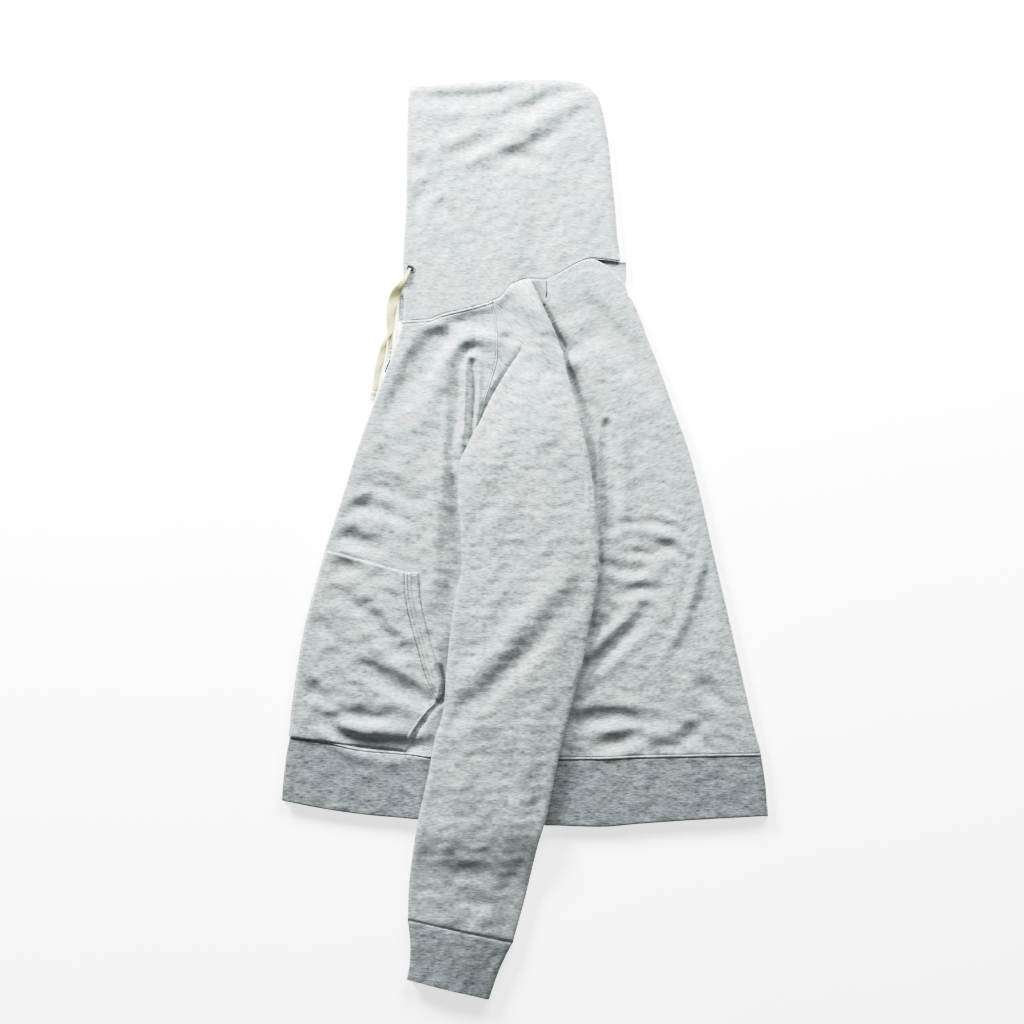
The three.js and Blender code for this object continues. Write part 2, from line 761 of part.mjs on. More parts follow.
function hemRib() {
  const rows = [0, 0.06, 0.5, 1].map((share) => {
    const line = (x) => mix(hemBottom(x), hemSeam(x) - SEAM_GAP, share);
    const leftX = mix(-279.9, -270.6, share);
    const rightX = foldAt(line(275)) - FOLD_RADIUS;
    const left = [leftX, line(leftX)];
    const right = [rightX, line(rightX)];
    return { left, right, bend: offChord(line, left, right) };
  });
  return wrapped(rows, 22, RIB, RIB_DROP);
}

// Underside of the laid sleeve: on the body, then down to the hidden sleeve past the hem
function sleeveRest(x, y) {
  const past = hemBottom(x) - y;
  const onBody = highestBody(x, Math.max(y, hemBottom(x) + 10)) + REST_GAP;
  return mix(onBody, HIDDEN_SLEEVE_TOP + REST_GAP, smooth(2, 78, past));
}

// The two skins of a tube that lies flat, above its rest, at a distance in from its edge
const tubeProfile = (edgeLoft, crownLoft) => ({
  top: (edge) =>
    mix(edgeLoft / 2 + 0.5, mix(edgeLoft, crownLoft, smooth(8, 42, edge)), roundOff(edge, 10)),
  under: (edge) => (edgeLoft / 2 - 0.5) * (1 - roundOff(edge, 4)),
});

function sleevePart() {
  const rows = refine(SLEEVE, 24);
  const shapes = rows.map(({ at }) => {
    const lift = smooth(SLEEVE_CAP_END + 0.5, SLEEVE_FULL, at);
    return tubeProfile(mix(FLEECE + 0.8, SLEEVE_EDGE_LOFT, lift), mix(FLEECE + 1, SLEEVE_LOFT, lift));
  });
  const inCap = rows.map(({ at }) => at <= SLEEVE_CAP_END + 0.5);
  const topAt = ({ x, y, edge }, r) =>
    inCap[r]
      ? bodyTop(x, y) + smooth(0, 10, edge) * relief(SLEEVE_FOLDS, x, y)
      : sleeveRest(x, y) + shapes[r].top(edge) + smooth(3, 16, edge) * relief(SLEEVE_FOLDS, x, y);
  const underAt = ({ x, y, edge }, r) =>
    inCap[r] ? bodyTop(x, y) - FLEECE : sleeveRest(x, y) + shapes[r].under(edge);
  const points = layRows(sectionRows(rows), 9, [0, EDGE_STEP, HOLLOW_INSET]);
  const outer = slab(points, topAt, underAt);

  // The hollow keeps to the same points, a wall inside, and runs out past the open end
  const first = rows.findIndex(({ at }) => at >= SLEEVE_FULL - 1);
  const inside = points.slice(first).map((row) => row.slice(2, -2));
  const end = inside[inside.length - 1].map((p) => ({ ...p, y: p.y - 3 }));
  const grid = (height) =>
    [...inside, end].map((row, i) => {
      const r = Math.min(first + i, rows.length - 1);
      const level = Math.min(i, inside.length - 1);
      return row.map((p, c) => [p.x, p.y, height(inside[level][c], r)]);
    });
  const hollow = gridGeometry(
    grid((p, r) => topAt(p, r) - FLEECE),
    grid((p, r) => Math.min(underAt(p, r) + FLEECE, topAt(p, r) - FLEECE - 0.4)),
  );
  return cut(outer, hollow);
}

function cuffPart() {
  const shape = tubeProfile(CUFF_EDGE_LOFT, CUFF_LOFT);
  const rows = refine(CUFF, 15);
  const topAt = ({ x, y, edge }) => sleeveRest(x, y) + shape.top(edge);
  const underAt = ({ x, y, edge }) => sleeveRest(x, y) + shape.under(edge);
  const outer = slab(layRows(sectionRows(rows), 8, [0, EDGE_STEP]), topAt, underAt);

  // The hollow runs out past both open ends
  const inset = [rows[0], ...rows, rows[rows.length - 1]].map((row, i, all) => {
    const past = i === 0 ? 3 : i === all.length - 1 ? -3 : 0;
    return {
      leftX: row.leftX + CUFF_HOLLOW_INSET,
      rightX: row.rightX - CUFF_HOLLOW_INSET,
      leftY: row.leftY + past,
      rightY: row.rightY + past,
    };
  });
  const inside = layRows(sectionRows(inset), 6, [0, 4]).map((row) =>
    row.map((p) => ({ ...p, edge: p.edge + CUFF_HOLLOW_INSET })),
  );
  const hollow = slab(
    inside,
    (p) => Math.max(topAt(p) - RIB, underAt(p) + RIB + 0.3),
    (p) => underAt(p) + RIB,
  );
  return cut(outer, hollow);
}

function hoodLeft() {
  const { neckLeft, neckRight, crownLeft, crownRight } = HOOD_CORNERS;
  const atNeck = offChord((x) => neckLine(x) + SEAM_GAP + 0.2, neckLeft, neckRight);
  const atCrown = offChord(crownLine, crownLeft, crownRight);
  const rows = [...evenly(14, 0, 0.95), 0.985, 1].map((t) => {
    const leftY = mix(neckLeft[1], crownLeft[1], t);
    const rightY = mix(neckRight[1], crownRight[1], t);
    const left = [faceAt(leftY), leftY];
    const right = [hoodBackAt(rightY), rightY];
    return { left, right, bend: (x) => (1 - t) ** 3 * atNeck(x) + t ** 4 * atCrown(x) };
  });
  return slab(layRows(rows, 13), ({ x, y }) => hoodTop(x, y), ({ x, y }) => hoodTop(x, y) - FLEECE);
}

const pocketRest = ({ x, y }) => pocketBed(x, y) + REST_GAP;

function pocketLeft() {
  const rows = refine(
    POCKET.map(({ leftY, rightX, rightY }) => ({
      leftX: zipAt(leftY) + POCKET_EDGE_SET,
      leftY,
      rightX: rightX - SEAM_GAP / 2,
      rightY,
    })),
    26,
  );
  const points = layRows(sectionRows(rows), 8);
  return slab(points, (p) => pocketRest(p) + POCKET_WALL, pocketRest);
}

function pocketFacing() {
  const points = layRows(sectionRows(FACING), 1);
  return slab(points, (p) => pocketRest(p) + POCKET_WALL + FACING_RISE, pocketRest);
}

// Both zip tapes, folded together inside the edge with the closed teeth at the turn
function zipTape() {
  const low = UNDER_LAYER + 0.4;
  const ys = evenly(18, hemBottom(-275) + 1.4, 248);
  const rows = ys.map((y) => {
    const start = zipAt(y) + ZIP_INSET;
    const rib = (RIB - FLEECE + RIB_DROP) * (1 - smooth(-222, -214, y));
    const high = Math.min(...[0, 4, TAPE_WIDE].map((d) => lowestBody(start + d, y))) - FLEECE - 0.6 - rib;
    const turn = (high - low) / 3;
    const outer = [
      [TAPE_WIDE, high],
      [1.2, high],
      [0, high - turn],
      [0, low + turn],
      [1.2, low],
      [TAPE_WIDE, low],
    ];
    const inner = [
      [TAPE_WIDE, high - TAPE_THICK],
      [2, high - TAPE_THICK],
      [TAPE_THICK, high - turn - 0.3],
      [TAPE_THICK, low + turn + 0.3],
      [2, low + TAPE_THICK],
      [TAPE_WIDE, low + TAPE_THICK],
    ];
    const place = (profile) => profile.map(([x, z]) => [start + x, y, z]);
    return { outer: place(outer), inner: place(inner) };
  });
  return gridGeometry(rows.map(({ outer }) => outer), rows.map(({ inner }) => inner));
}

// A layer of cloth with rounded edges, between two heights
function softLayer(rows, bottom, top) {
  const edgeCut = (p, r) => (p.edge < 0.1 || r === 0 || r === rows.length - 1 ? LAYER_ROUND : 0);
  return slab(
    layRows(rows, 3, [0, 1.4]),
    (p, r) => top - edgeCut(p, r),
    (p, r) => bottom + edgeCut(p, r),
  );
}

// A core's upper side, under the cloth that it fills, with its own edges rounded
const coreTop = (rows, cloth, clearance) => (p, r) => {
  const ends = r === 0 || r === rows.length - 1 ? 1.5 : 0;
  return cloth(p) - FLEECE - clearance - ends - 1.5 * (1 - roundOff(p.edge, 4));
};

const FOLD_SPACE = FOLD_RADIUS + FOLD_RETURN + 1.6;

// Rows of the right half of the body, which peeks out a little at the neck
function hiddenBodyRows(inset, count) {
  const { hemLeft, hemRight, topLeftY, topRightY } = HIDDEN_CORNERS;
  const lowLeftY = hemLeft[1] + inset.low;
  const lowRightY = hemRight[1] + inset.low;
  const atHem = offChord((x) => hemBottom(x) + inset.low, [hemLeft[0], lowLeftY], [hemRight[0], lowRightY]);
  return [0, 0.003, ...evenly(count, 0.02, 0.98), 0.997, 1].map((t) => {
    const leftY = mix(lowLeftY, topLeftY - inset.high, t);
    const rightY = mix(lowRightY, topRightY - inset.high, t);
    const left = [zipAt(leftY) + inset.left - inset.peek * smooth(243, 256, leftY), leftY];
    const right = [foldAt(rightY) - inset.right, rightY];
    return { left, right, bend: (x) => (1 - t) ** 3 * atHem(x) };
  });
}

function hiddenBody() {
  const layerInset = { left: 0.6, right: FOLD_SPACE, low: 0.8, high: 0, peek: 3.6 };
  const coreInset = { left: CORE_INSET, right: FOLD_SPACE + 0.6, low: 6, high: 14, peek: 0 };
  const rows = hiddenBodyRows(coreInset, 14);
  const underPanels = ({ x, y }) => {
    const ribDepth = RIB - FLEECE + RIB_DROP;
    return lowestBody(x, y) - ribDepth * (1 - smooth(hemSeam(x) + 8, hemSeam(x) + 16, y));
  };
  const core = slab(layRows(rows, 12, [0, 3]), coreTop(rows, underPanels, CORE_CLEARANCE), () => 1);
  return [softLayer(hiddenBodyRows(layerInset, 18), 0, UNDER_LAYER), core];
}

// Rows of the right half of the hood, which peeks out a little at the face edge
function hiddenHoodRows(inset, count) {
  const { crownLeft, crownRight } = HOOD_CORNERS;
  const atCrown = offChord(crownLine, crownLeft, crownRight);
  return [0, 0.006, ...evenly(count, 0.04, 0.97), 0.994, 1].map((t) => {
    const leftY = mix(245 + inset.low, crownLeft[1] - inset.side, t);
    const rightY = mix(300 + inset.low, crownRight[1] - inset.side, t);
    const left = [faceAt(leftY) + inset.side - inset.peek * (1 - smooth(284, 298, leftY)), leftY];
    const nape = foldAt(rightY) - mix(FOLD_SPACE + 0.4, 1, smooth(297, 306, rightY));
    const right = [Math.min(nape, hoodBackAt(rightY) - inset.side), rightY];
    return { left, right, bend: (x) => t ** 4 * atCrown(x) };
  });
}

function hiddenHood() {
  const rows = hiddenHoodRows({ side: CROWN_INSET, low: 24, peek: 0 }, 9);
  const underHood = coreTop(rows, ({ x, y }) => lowestHood(x, y), CROWN_CLEARANCE);
  const top = (p, r) => Math.max(UNDER_LAYER + 0.4, underHood(p, r));
  const core = slab(layRows(rows, 7, [0, 3]), top, () => 1);
  return [softLayer(hiddenHoodRows({ side: 0.6, low: 0, peek: 3.4 }, 9), 0, UNDER_LAYER), core];
}

// The right sleeve and its cuff past the hem: two layers of cloth on a core
function hiddenSleeve() {
  const sections = [SLEEVE[20], ...refine([...SLEEVE.slice(21), ...CUFF], 30)];
  const rows = (inset) =>
    sections.map(({ leftX, leftY, rightX, rightY }, i) => {
      const end = i === sections.length - 1 ? inset : 0;
      return { left: [leftX + inset, leftY + end], right: [rightX - inset, rightY + end] };
    });
  const middle = HIDDEN_SLEEVE_TOP / 2;
  return [
    softLayer(rows(1.6), 0, middle - 0.2),
    softLayer(rows(2.2), middle + 0.1, HIDDEN_SLEEVE_TOP),
    softLayer(rows(7), 1, HIDDEN_SLEEVE_TOP - 1),
  ];
}

// A flat cord keeps its broad side up all along its route
class FlatCord extends THREE.CatmullRomCurve3 {
  computeFrenetFrames(segments) {
    const up = new THREE.Vector3(0, 0, 1);
    const tangents = [];
    const normals = [];
    const binormals = [];
    for (let i = 0; i <= segments; i += 1) {
      const tangent = this.getTangentAt(i / segments);
      const across = new THREE.Vector3().crossVectors(up, tangent).normalize();
      tangents.push(tangent);
      normals.push(across);
      binormals.push(new THREE.Vector3().crossVectors(tangent, across));
    }
    return { tangents, normals, binormals };
  }
}

function flatSection(width, thick, sides) {
  const shape = new THREE.Shape();
  shape.absellipse(0, 0, width / 2, thick / 2, 0, 2 * Math.PI, false, 0);
  return new THREE.Shape(shape.getPoints(sides / 2).slice(0, sides));
}

function cordGeometry(route, steps) {
  const path = new FlatCord(route.map((p) => new THREE.Vector3(...p)));
  const section = flatSection(CORD_WIDTH, CORD_THICK, CORD_SIDES);
  return new THREE.ExtrudeGeometry(section, { steps, extrudePath: path });
}

function tipGeometry({ width, length, thick }) {
  const tip = new THREE.SphereGeometry(0.5, 10, 6);
  tip.scale(width, length, thick);
  return tip;
}

// The sewn eyelet stands on the hood's own surface and takes its slope
function eyeletGeometry() {
  const { at, radius, ring, high } = EYELET;
  const profile = [
    new THREE.Vector2(radius - ring, 0),
    new THREE.Vector2(radius + ring, 0),
    new THREE.Vector2(radius + ring * 0.7, high * 0.8),
    new THREE.Vector2(radius, high),
    new THREE.Vector2(radius - ring * 0.7, high * 0.8),
    new THREE.Vector2(radius - ring, 0),
  ];
  const geometry = new THREE.LatheGeometry(profile, 14);
  geometry.rotateX(Math.PI / 2);
  geometry.scale(0.7, 1, 1);
  const reach = 4;
  const slopeX = (hoodTop(at[0] + reach, at[1]) - hoodTop(at[0] - reach, at[1])) / (2 * reach);
  const slopeY = (hoodTop(at[0], at[1] + reach) - hoodTop(at[0], at[1] - reach)) / (2 * reach);
  const position = geometry.getAttribute("position");
  for (let i = 0; i < position.count; i += 1) {
    const x = position.getX(i);
    const y = position.getY(i);
    position.setZ(i, position.getZ(i) + slopeX * x + slopeY * y);
  }
  return geometry;
}

const box = (sizeX, sizeY, sizeZ, x, y, z) => new THREE.BoxGeometry(sizeX, sizeY, sizeZ).translate(x, y, z);

// The slider's front faces -X, the zip runs along Y, and the pull's eye turns under the bridge
const PULL_SPACE = PULL.bar + PULL.play;

function sliderGeometry() {
  const { wide, long, deep, face } = SLIDER;
  const { thick, long: span, foot: footLong } = BRIDGE;
  const reach = 0.9 + PULL_SPACE;
  const shape = new THREE.Shape();
  shape.moveTo(0, -long / 2);
  shape.lineTo(deep, -long * 0.36);
  shape.lineTo(deep, long * 0.42);
  shape.lineTo(0, long / 2);
  shape.lineTo(-face, long * 0.4);
  shape.lineTo(-face, -long * 0.4);
  const body = new THREE.ExtrudeGeometry(shape, { depth: wide, bevelEnabled: false });
  body.translate(0, 0, -wide / 2);
  const near = 0.1 - face;
  const foot = (y) => box(reach, footLong, BRIDGE.wide, near - reach / 2, y, 0);
  const bow = box(thick, span, BRIDGE.wide, near - reach + thick / 2 - 0.1, 0, 0);
  const footY = (span - footLong) / 2;
  return joined([body, foot(footY), foot(-footY), bow]);
}

// The tab hangs along -Y from its bar, which lies along Z at the origin
function pullGeometry() {
  const { long, wide, thick, bar, eye, window } = PULL;
  const rail = (wide - window) / 2;
  const pin = new THREE.CylinderGeometry(bar / 2, bar / 2, wide, 10).rotateX(Math.PI / 2);
  const side = (z) => box(bar, eye, rail, 0, -eye / 2, z);
  const plate = new THREE.Shape();
  plate.moveTo(-thick / 2, -eye);
  plate.lineTo(thick / 2, -eye);
  plate.lineTo(thick * 0.35, -long);
  plate.lineTo(-thick * 0.35, -long);
  const tab = new THREE.ExtrudeGeometry(plate, { depth: wide, bevelEnabled: false });
  tab.translate(0, 0, -wide / 2);
  return joined([pin, side(wide / 2 - rail / 2), side(rail / 2 - wide / 2), tab]);
}

const fleece = new THREE.MeshStandardMaterial({ color: 0xc3cbce, roughness: 0.95, metalness: 0 });
const rib = new THREE.MeshStandardMaterial({ color: 0x9aa4aa, roughness: 0.95, metalness: 0 });
const cotton = new THREE.MeshStandardMaterial({ color: 0xeeeacd, roughness: 0.85, metalness: 0 });
const tape = new THREE.MeshStandardMaterial({ color: 0xb9c1c5, roughness: 0.8, metalness: 0 });
const gunmetal = new THREE.MeshStandardMaterial({ color: 0x3c3f42, roughness: 0.35, metalness: 1 });
const thread = new THREE.MeshStandardMaterial({ color: 0xa7b0b3, roughness: 0.8, metalness: 0 });

const hoodie = new THREE.Group();
function add(name, geometry, material, parent = hoodie) {
  const mesh = new THREE.Mesh(geometry, material);
  mesh.name = name;
  parent.add(mesh);
  return mesh;
}

add("front_left", frontLeft(), fleece);
add("back", back(), fleece);
add("hem_rib", hemRib(), rib);
add("sleeve_left", sleevePart(), fleece);
add("sleeve_left_front_pleat", frontPleat(), fleece);
add("sleeve_left_back_pleat", flatPiece(sectionRows(BACK_PLEAT), 2, [0]), fleece);
add("cuff_left", cuffPart(), rib);
add("hood_left", hoodLeft(), fleece);
add("pocket_left", pocketLeft(), fleece);
add("pocket_facing_left", pocketFacing(), fleece);
add("zip_tape", zipTape(), tape);
add("hidden_layers", joined([...hiddenBody(), ...hiddenHood(), ...hiddenSleeve()]), fleece);

const eyelet = add("eyelet_left", eyeletGeometry(), thread);
eyelet.position.set(EYELET.at[0], EYELET.at[1], hoodTop(...EYELET.at) + SEAM_GAP);

add("drawcord_left", cordGeometry(LEFT_CORD, 26), cotton);
add("drawcord_right", cordGeometry(RIGHT_CORD, 12), cotton);
[
  ["drawcord_left_tip", LEFT_TIP],
  ["drawcord_right_tip", RIGHT_TIP],
].forEach(([name, tip]) => {
  const mesh = add(name, tipGeometry(tip), cotton);
  mesh.position.set(...tip.at);
  mesh.rotation.z = THREE.MathUtils.degToRad(tip.turn);
});

// The slider and its pull follow the slant of the zip edge
const slant = Math.atan2(zipAt(SLIDER.y + 10) - zipAt(SLIDER.y - 10), 20);
const zipHead = new THREE.Group();
zipHead.position.set(zipAt(SLIDER.y) + SLIDER.set, SLIDER.y, SLIDER.z);
zipHead.rotation.z = -slant;
hoodie.add(zipHead);
add("zip_slider", sliderGeometry(), gunmetal, zipHead);
const pull = add("zip_pull", pullGeometry(), gunmetal, zipHead);
pull.position.set(-SLIDER.face - 0.3 - PULL_SPACE / 2, 0, 0);

export default hoodie;
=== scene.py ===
"""Zip hoodie in heather fleece, folded in half along its length and laid flat.

Lengths are written in millimetres, in the part's own frame: +X runs from the zip edge to the
centre-back fold, +Y from the hem to the hood, +Z up. Meshes are made in metres.
"""

import logging
import math
from collections.abc import Callable, Iterable, Sequence
from dataclasses import dataclass
from enum import Enum

import bmesh
import bpy
import numpy as np
from mathutils import Matrix, Vector


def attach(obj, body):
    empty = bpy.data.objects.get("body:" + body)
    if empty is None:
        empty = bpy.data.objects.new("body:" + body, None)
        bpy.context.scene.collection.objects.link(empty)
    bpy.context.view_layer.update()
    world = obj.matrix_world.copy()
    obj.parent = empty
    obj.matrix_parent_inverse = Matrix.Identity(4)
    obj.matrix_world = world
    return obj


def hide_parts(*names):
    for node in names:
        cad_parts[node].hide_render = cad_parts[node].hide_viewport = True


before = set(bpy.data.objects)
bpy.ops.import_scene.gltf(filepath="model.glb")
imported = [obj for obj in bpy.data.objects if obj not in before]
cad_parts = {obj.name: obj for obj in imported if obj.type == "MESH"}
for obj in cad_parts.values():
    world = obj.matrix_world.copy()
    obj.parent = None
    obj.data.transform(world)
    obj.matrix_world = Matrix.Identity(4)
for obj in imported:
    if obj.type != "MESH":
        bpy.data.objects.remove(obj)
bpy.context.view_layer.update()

LOG = logging.getLogger("hoodie")
Array = np.ndarray
Point = tuple[float, float]
Place = tuple[float, float, float]
Socket = bpy.types.NodeSocket
Material = bpy.types.Material
Piece = bpy.types.Object
Maker = bmesh.types.BMesh
MM = 0.001

GARMENT = "garment"
PULL_TAB = "pull_tab"

# Cloth thicknesses
FLEECE_WALL = 1.7
SLEEVE_WALL = FLEECE_WALL * 0.7
HEM_WALL = 1.3
CUFF_WALL = 2.2
POCKET_WALL = 1.3
TAPE_WALL = 0.6
RIB_PITCH = 2.4
RIB_DEPTH = 0.06

# Heights above the surface
BODY_LOFT = 10.6
ZIP_EDGE_LOFT = 11.5
BACK_FOLD_LOFT = 9.6
HOOD_LOFT = 9.8
HOOD_FACE_LOFT = 8.6
HOOD_SEAM_HEIGHT = 5.2
RIB_DROP = 0.8
HIDDEN_SLEEVE_RISE = 5.6
HIDDEN_SLEEVE_TOP = 6.1
SLEEVE_LOFT = 8.4
SLEEVE_EDGE_LOFT = 5.2
CUFF_LOFT = 9.2
CUFF_EDGE_LOFT = 6.4
REST_GAP = 0.35
LOWEST_CLOTH = 3.4
DEEPEST_FOLD = 5.6
HIGHEST_FOLD = 5.0

# Spans over which a height changes: distances from an edge, or places along the garment
ZIP_EDGE_FALL = (8, 34)
BACK_FOLD_FALL = (4, 34)
HOOD_FACE_FALL = (4, 26)
HIDDEN_SLEEVE_SLOPE = (-26, 18)
HIDDEN_SLEEVE_END = (110, 215)
CALM_BY_FOLD = (2, 18)
CALM_BY_ZIP = (2, 24)
CALM_BY_NECK = (-1, 16)
CALM_BY_SEAM = (3, 16)
CALM_BY_FACE = (-2, 12)
HOOD_WAKES = (250, 330)
HOOD_ROLL_START = (318, 335)
HOOD_ROLL = 9
HOOD_CORNER_Y = 325
SLEEVE_DROP = (2, 78)
HEM_MARGIN = 10
FELT_AROUND = (-8, 0, 8)
TUBE_CROWN = (8, 42)
BESIDE_SEAM = (0.5, 4)

# Ripples of each piece: a number that sets them apart, and their height
BODY_RIPPLE = (0.7, 0.42)
POCKET_RIPPLE = (1.3, 0.18)
HOOD_RIPPLE = (2.1, 0.4)
SLEEVE_RIPPLE = (4.2, 0.42)
CUFF_RIPPLE = (5.0, 0.3)

# How much deeper the creases are than in their tables
BODY_DEEPER = 2.7
HOOD_DEEPER = 1.8
SLEEVE_DEEPER = 1.4

# Turned and folded edges
TURN_RADIUS = 2.2
TURN_BACK = 9.0
FOLD_RADIUS = BACK_FOLD_LOFT / 2
FOLD_RETURN = 9.0

# Steps in from an edge, close together where the cloth rolls over
SEAM_STEPS = (0.0, 0.35, 0.8, 1.4, 2.1, 2.7, 3.1, 3.5, 3.9, 4.6, 6.0)
ROLL_STEPS = (0.0, 0.15, 0.5, 1.1, 1.9, 2.9, 4.1, 5.6, 7.4, 9.6)
PLAIN_STEPS = (0.0, 2.0)
CELL = 2.5

# Outlines measured on the photograph. Body: y, then x of the zip edge and of the back fold
BODY_EDGES = (
    (-318, -280.5, 279), (-301, -280, 278.6), (-250, -275, 272.3), (-225, -270.4, 265.8),
    (-200, -268.1, 259.6), (-150, -261.3, 248.2), (-100, -252.3, 236.8), (-50, -239.3, 225.1),
    (0, -225, 213.4), (50, -208.3, 202.3), (100, -192.8, 189.1), (150, -174.7, 171.1),
    (200, -155.8, 153.5), (228, -145.3, 142.2), (250, -139.8, 134.1), (270, -138.5, 125.6),
    (292, -138.5, 116.6),
)

# Hem: x, then y of the seam and of the lower edge
HEM = (
    (-280, -223.5, -299.9), (-230, -234.3, -310), (-180, -244.6, -316.9), (-130, -248.4, -321.2),
    (-105, -251.4, -323), (40, -253.8, -329.3), (87, -253.6, -330.7), (130, -251.9, -327.3),
    (200, -250.5, -322.5), (279, -249.3, -318.2),
)

# Neck and nape seams: x, y
NECK = (
    (-140, 249.9), (-108, 252.2), (-97, 256.8), (-74, 262.5), (-51, 268.3), (-37, 272.9),
    (-28, 277.5), (-14, 292.4), (6, 298.2), (24, 297), (41, 305.1), (64, 317.7), (76, 321.2),
    (112, 317.7),
)

BACK_TOP = (
    (25, 296.9), (41, 305), (64, 317.5), (76, 321), (92, 315), (104, 305), (116.6, 292),
)

# Hood: y, then x of the face edge and of the back seam
HOOD_SIDES = (
    (250, -139.8, 112), (274, -138.6, 112), (318, -139.4, 110), (345, -138.2, 106.8),
    (377, -136, 104.3), (412, -135.3, 100.8), (446, -135, 97.4), (470, -134.6, 93.9),
    (492, -134, 89.3), (508, -133.6, 83.6), (519, -131.5, 73),
)

HOOD_CROWN = (
    (-133.5, 518), (-97, 521.3), (-51, 524.7), (-5, 527), (30, 527.6), (58, 524.7), (73, 519),
    (83.6, 508),
)

# Where the front and the back end beside the sleeve: y, x
FRONT_SIDE = (
    (-251.5, -28), (60, -28), (78, -28.6), (108, -40), (136, -50), (159, -44.3), (182, -37.4),
    (210, -30.5), (228, -30.5), (251, -32), (272.6, -37.4),
)

BACK_SIDE = (
    (-253, -27.4), (60, -27.6), (78, -27), (113, -4), (159, 13), (185, 20), (205, 25),
    (214.2, 44.2), (223.7, 40.6), (234, 37), (253.6, 27.8), (270.8, 24.2), (280, 26.2), (296.7, 25),
)

# Sleeve and cuff, row by row from the neck: the left end x, y and the right end x, y
SLEEVE = (
    (-37, 272.3, 6.3, 297.8), (-29.4, 261.7, 17.8, 274.3), (-19, 245.6, 27, 253.6),
    (-8.7, 230.6, 36.2, 234.1), (-1.8, 222.6, 39.7, 223.7), (-5.2, 214.5, 43.1, 214.5),
    (-16.7, 197.3, 47.7, 193.8), (-28.2, 178.9, 52.3, 176.6), (-39.7, 158.2, 58, 155.9),
    (-48.9, 138.6, 63.8, 135.2), (-65, 107.6, 69.6, 111), (-74.2, 84.6, 74.2, 88),
    (-76.5, 50.1, 79.9, 50.1), (-73, 9.8, 83.3, 9.8), (-71.9, -30.4, 84.5, -27),
    (-78.8, -64.9, 80.5, -67.2), (-84.5, -105.2, 73, -105.2), (-89.1, -147.7, 65, -147.7),
    (-92.6, -193.7, 53.5, -191.4), (-103, -231.7, 44.3, -228.2), (-109.9, -268.5, 36.2, -263.9),
    (-120.2, -314.5, 25.9, -314.5), (-127.1, -352.4, 14.9, -352.4), (-132.9, -400.7, 1.7, -407.6),
    (-134, -437, -13.5, -463.4),
)
SLEEVE_CAP_END = 4
SLEEVE_FULL = 10

CUFF = (
    (-134, -437.2, -13.8, -463.6), (-131.2, -466, -22.6, -480.5), (-131.8, -486, -30, -497),
    (-135.2, -505.4, -40.9, -528.4),
)

# The cloth beside the sleeve: y and x of its free edge, and both ends of each row
FRONT_PLEAT = (
    (96, -26), (112, -10), (136, 3), (159, 12.5), (182, 18.6), (204, 20), (213.4, 12),
    (222.8, -1.8), (230.6, -8.7), (245.6, -19), (261.7, -29.4), (272.3, -37),
)

BACK_PLEAT = (
    (6.3, 297.8, 24.6, 296.9), (13.4, 284, 25.4, 284), (17.8, 274.3, 24.4, 274.3),
    (20.6, 268, 24.2, 268),
)

# Pocket: y of its left end, then x and y of its right end. Facing: both ends of each row
POCKET = (
    (-228, -135.6, -245.5), (-219, -129.6, -226.6), (-209, -120.4, -211.5), (-195, -109.0, -196.5),
    (-180, -99.9, -186.3), (-155, -111.3, -163.0), (-130, -118.5, -140.0), (-105, -124.8, -117.0),
    (-80, -131.0, -94.0), (-50, -136.1, -68.0), (-12.8, -137.5, -37.8),
)

FACING = (
    (-100.2, -185.2, -97.2, -186.5), (-106.4, -174.2, -92.8, -177.5),
    (-111.0, -163.9, -91.5, -168.5), (-117.9, -142.0, -100.7, -142.0),
    (-123.7, -120.2, -107.8, -120.2), (-129.4, -99.5, -113.3, -99.5),
    (-134.0, -79.9, -117.9, -79.9), (-137.1, -59.2, -121.0, -59.2), (-137.5, -37.9, -122.2, -38.5),
)


def smooth(start: float, end: float, value: Array | float) -> Array:
    """The soft step from 0 at start to 1 at end."""
    t = np.clip((np.asarray(value, float) - start) / (end - start), 0, 1)
    return t * t * (3 - 2 * t)


def round_off(distance: Array, reach: Array | float) -> Array:
    """A quarter circle that rises from 0 at an edge to 1 at the given reach."""
    return np.sqrt(1 - (1 - np.clip(distance / reach, 0, 1)) ** 2)


def mix(a: Array | float, b: Array | float, share: Array | float) -> Array:
    """The value that lies the given share of the way from a to b."""
    return a + (b - a) * share


def pairs(x: Array, y: Array) -> Array:
    """Points from their x and their y."""
    return np.stack([x, y], axis=-1)


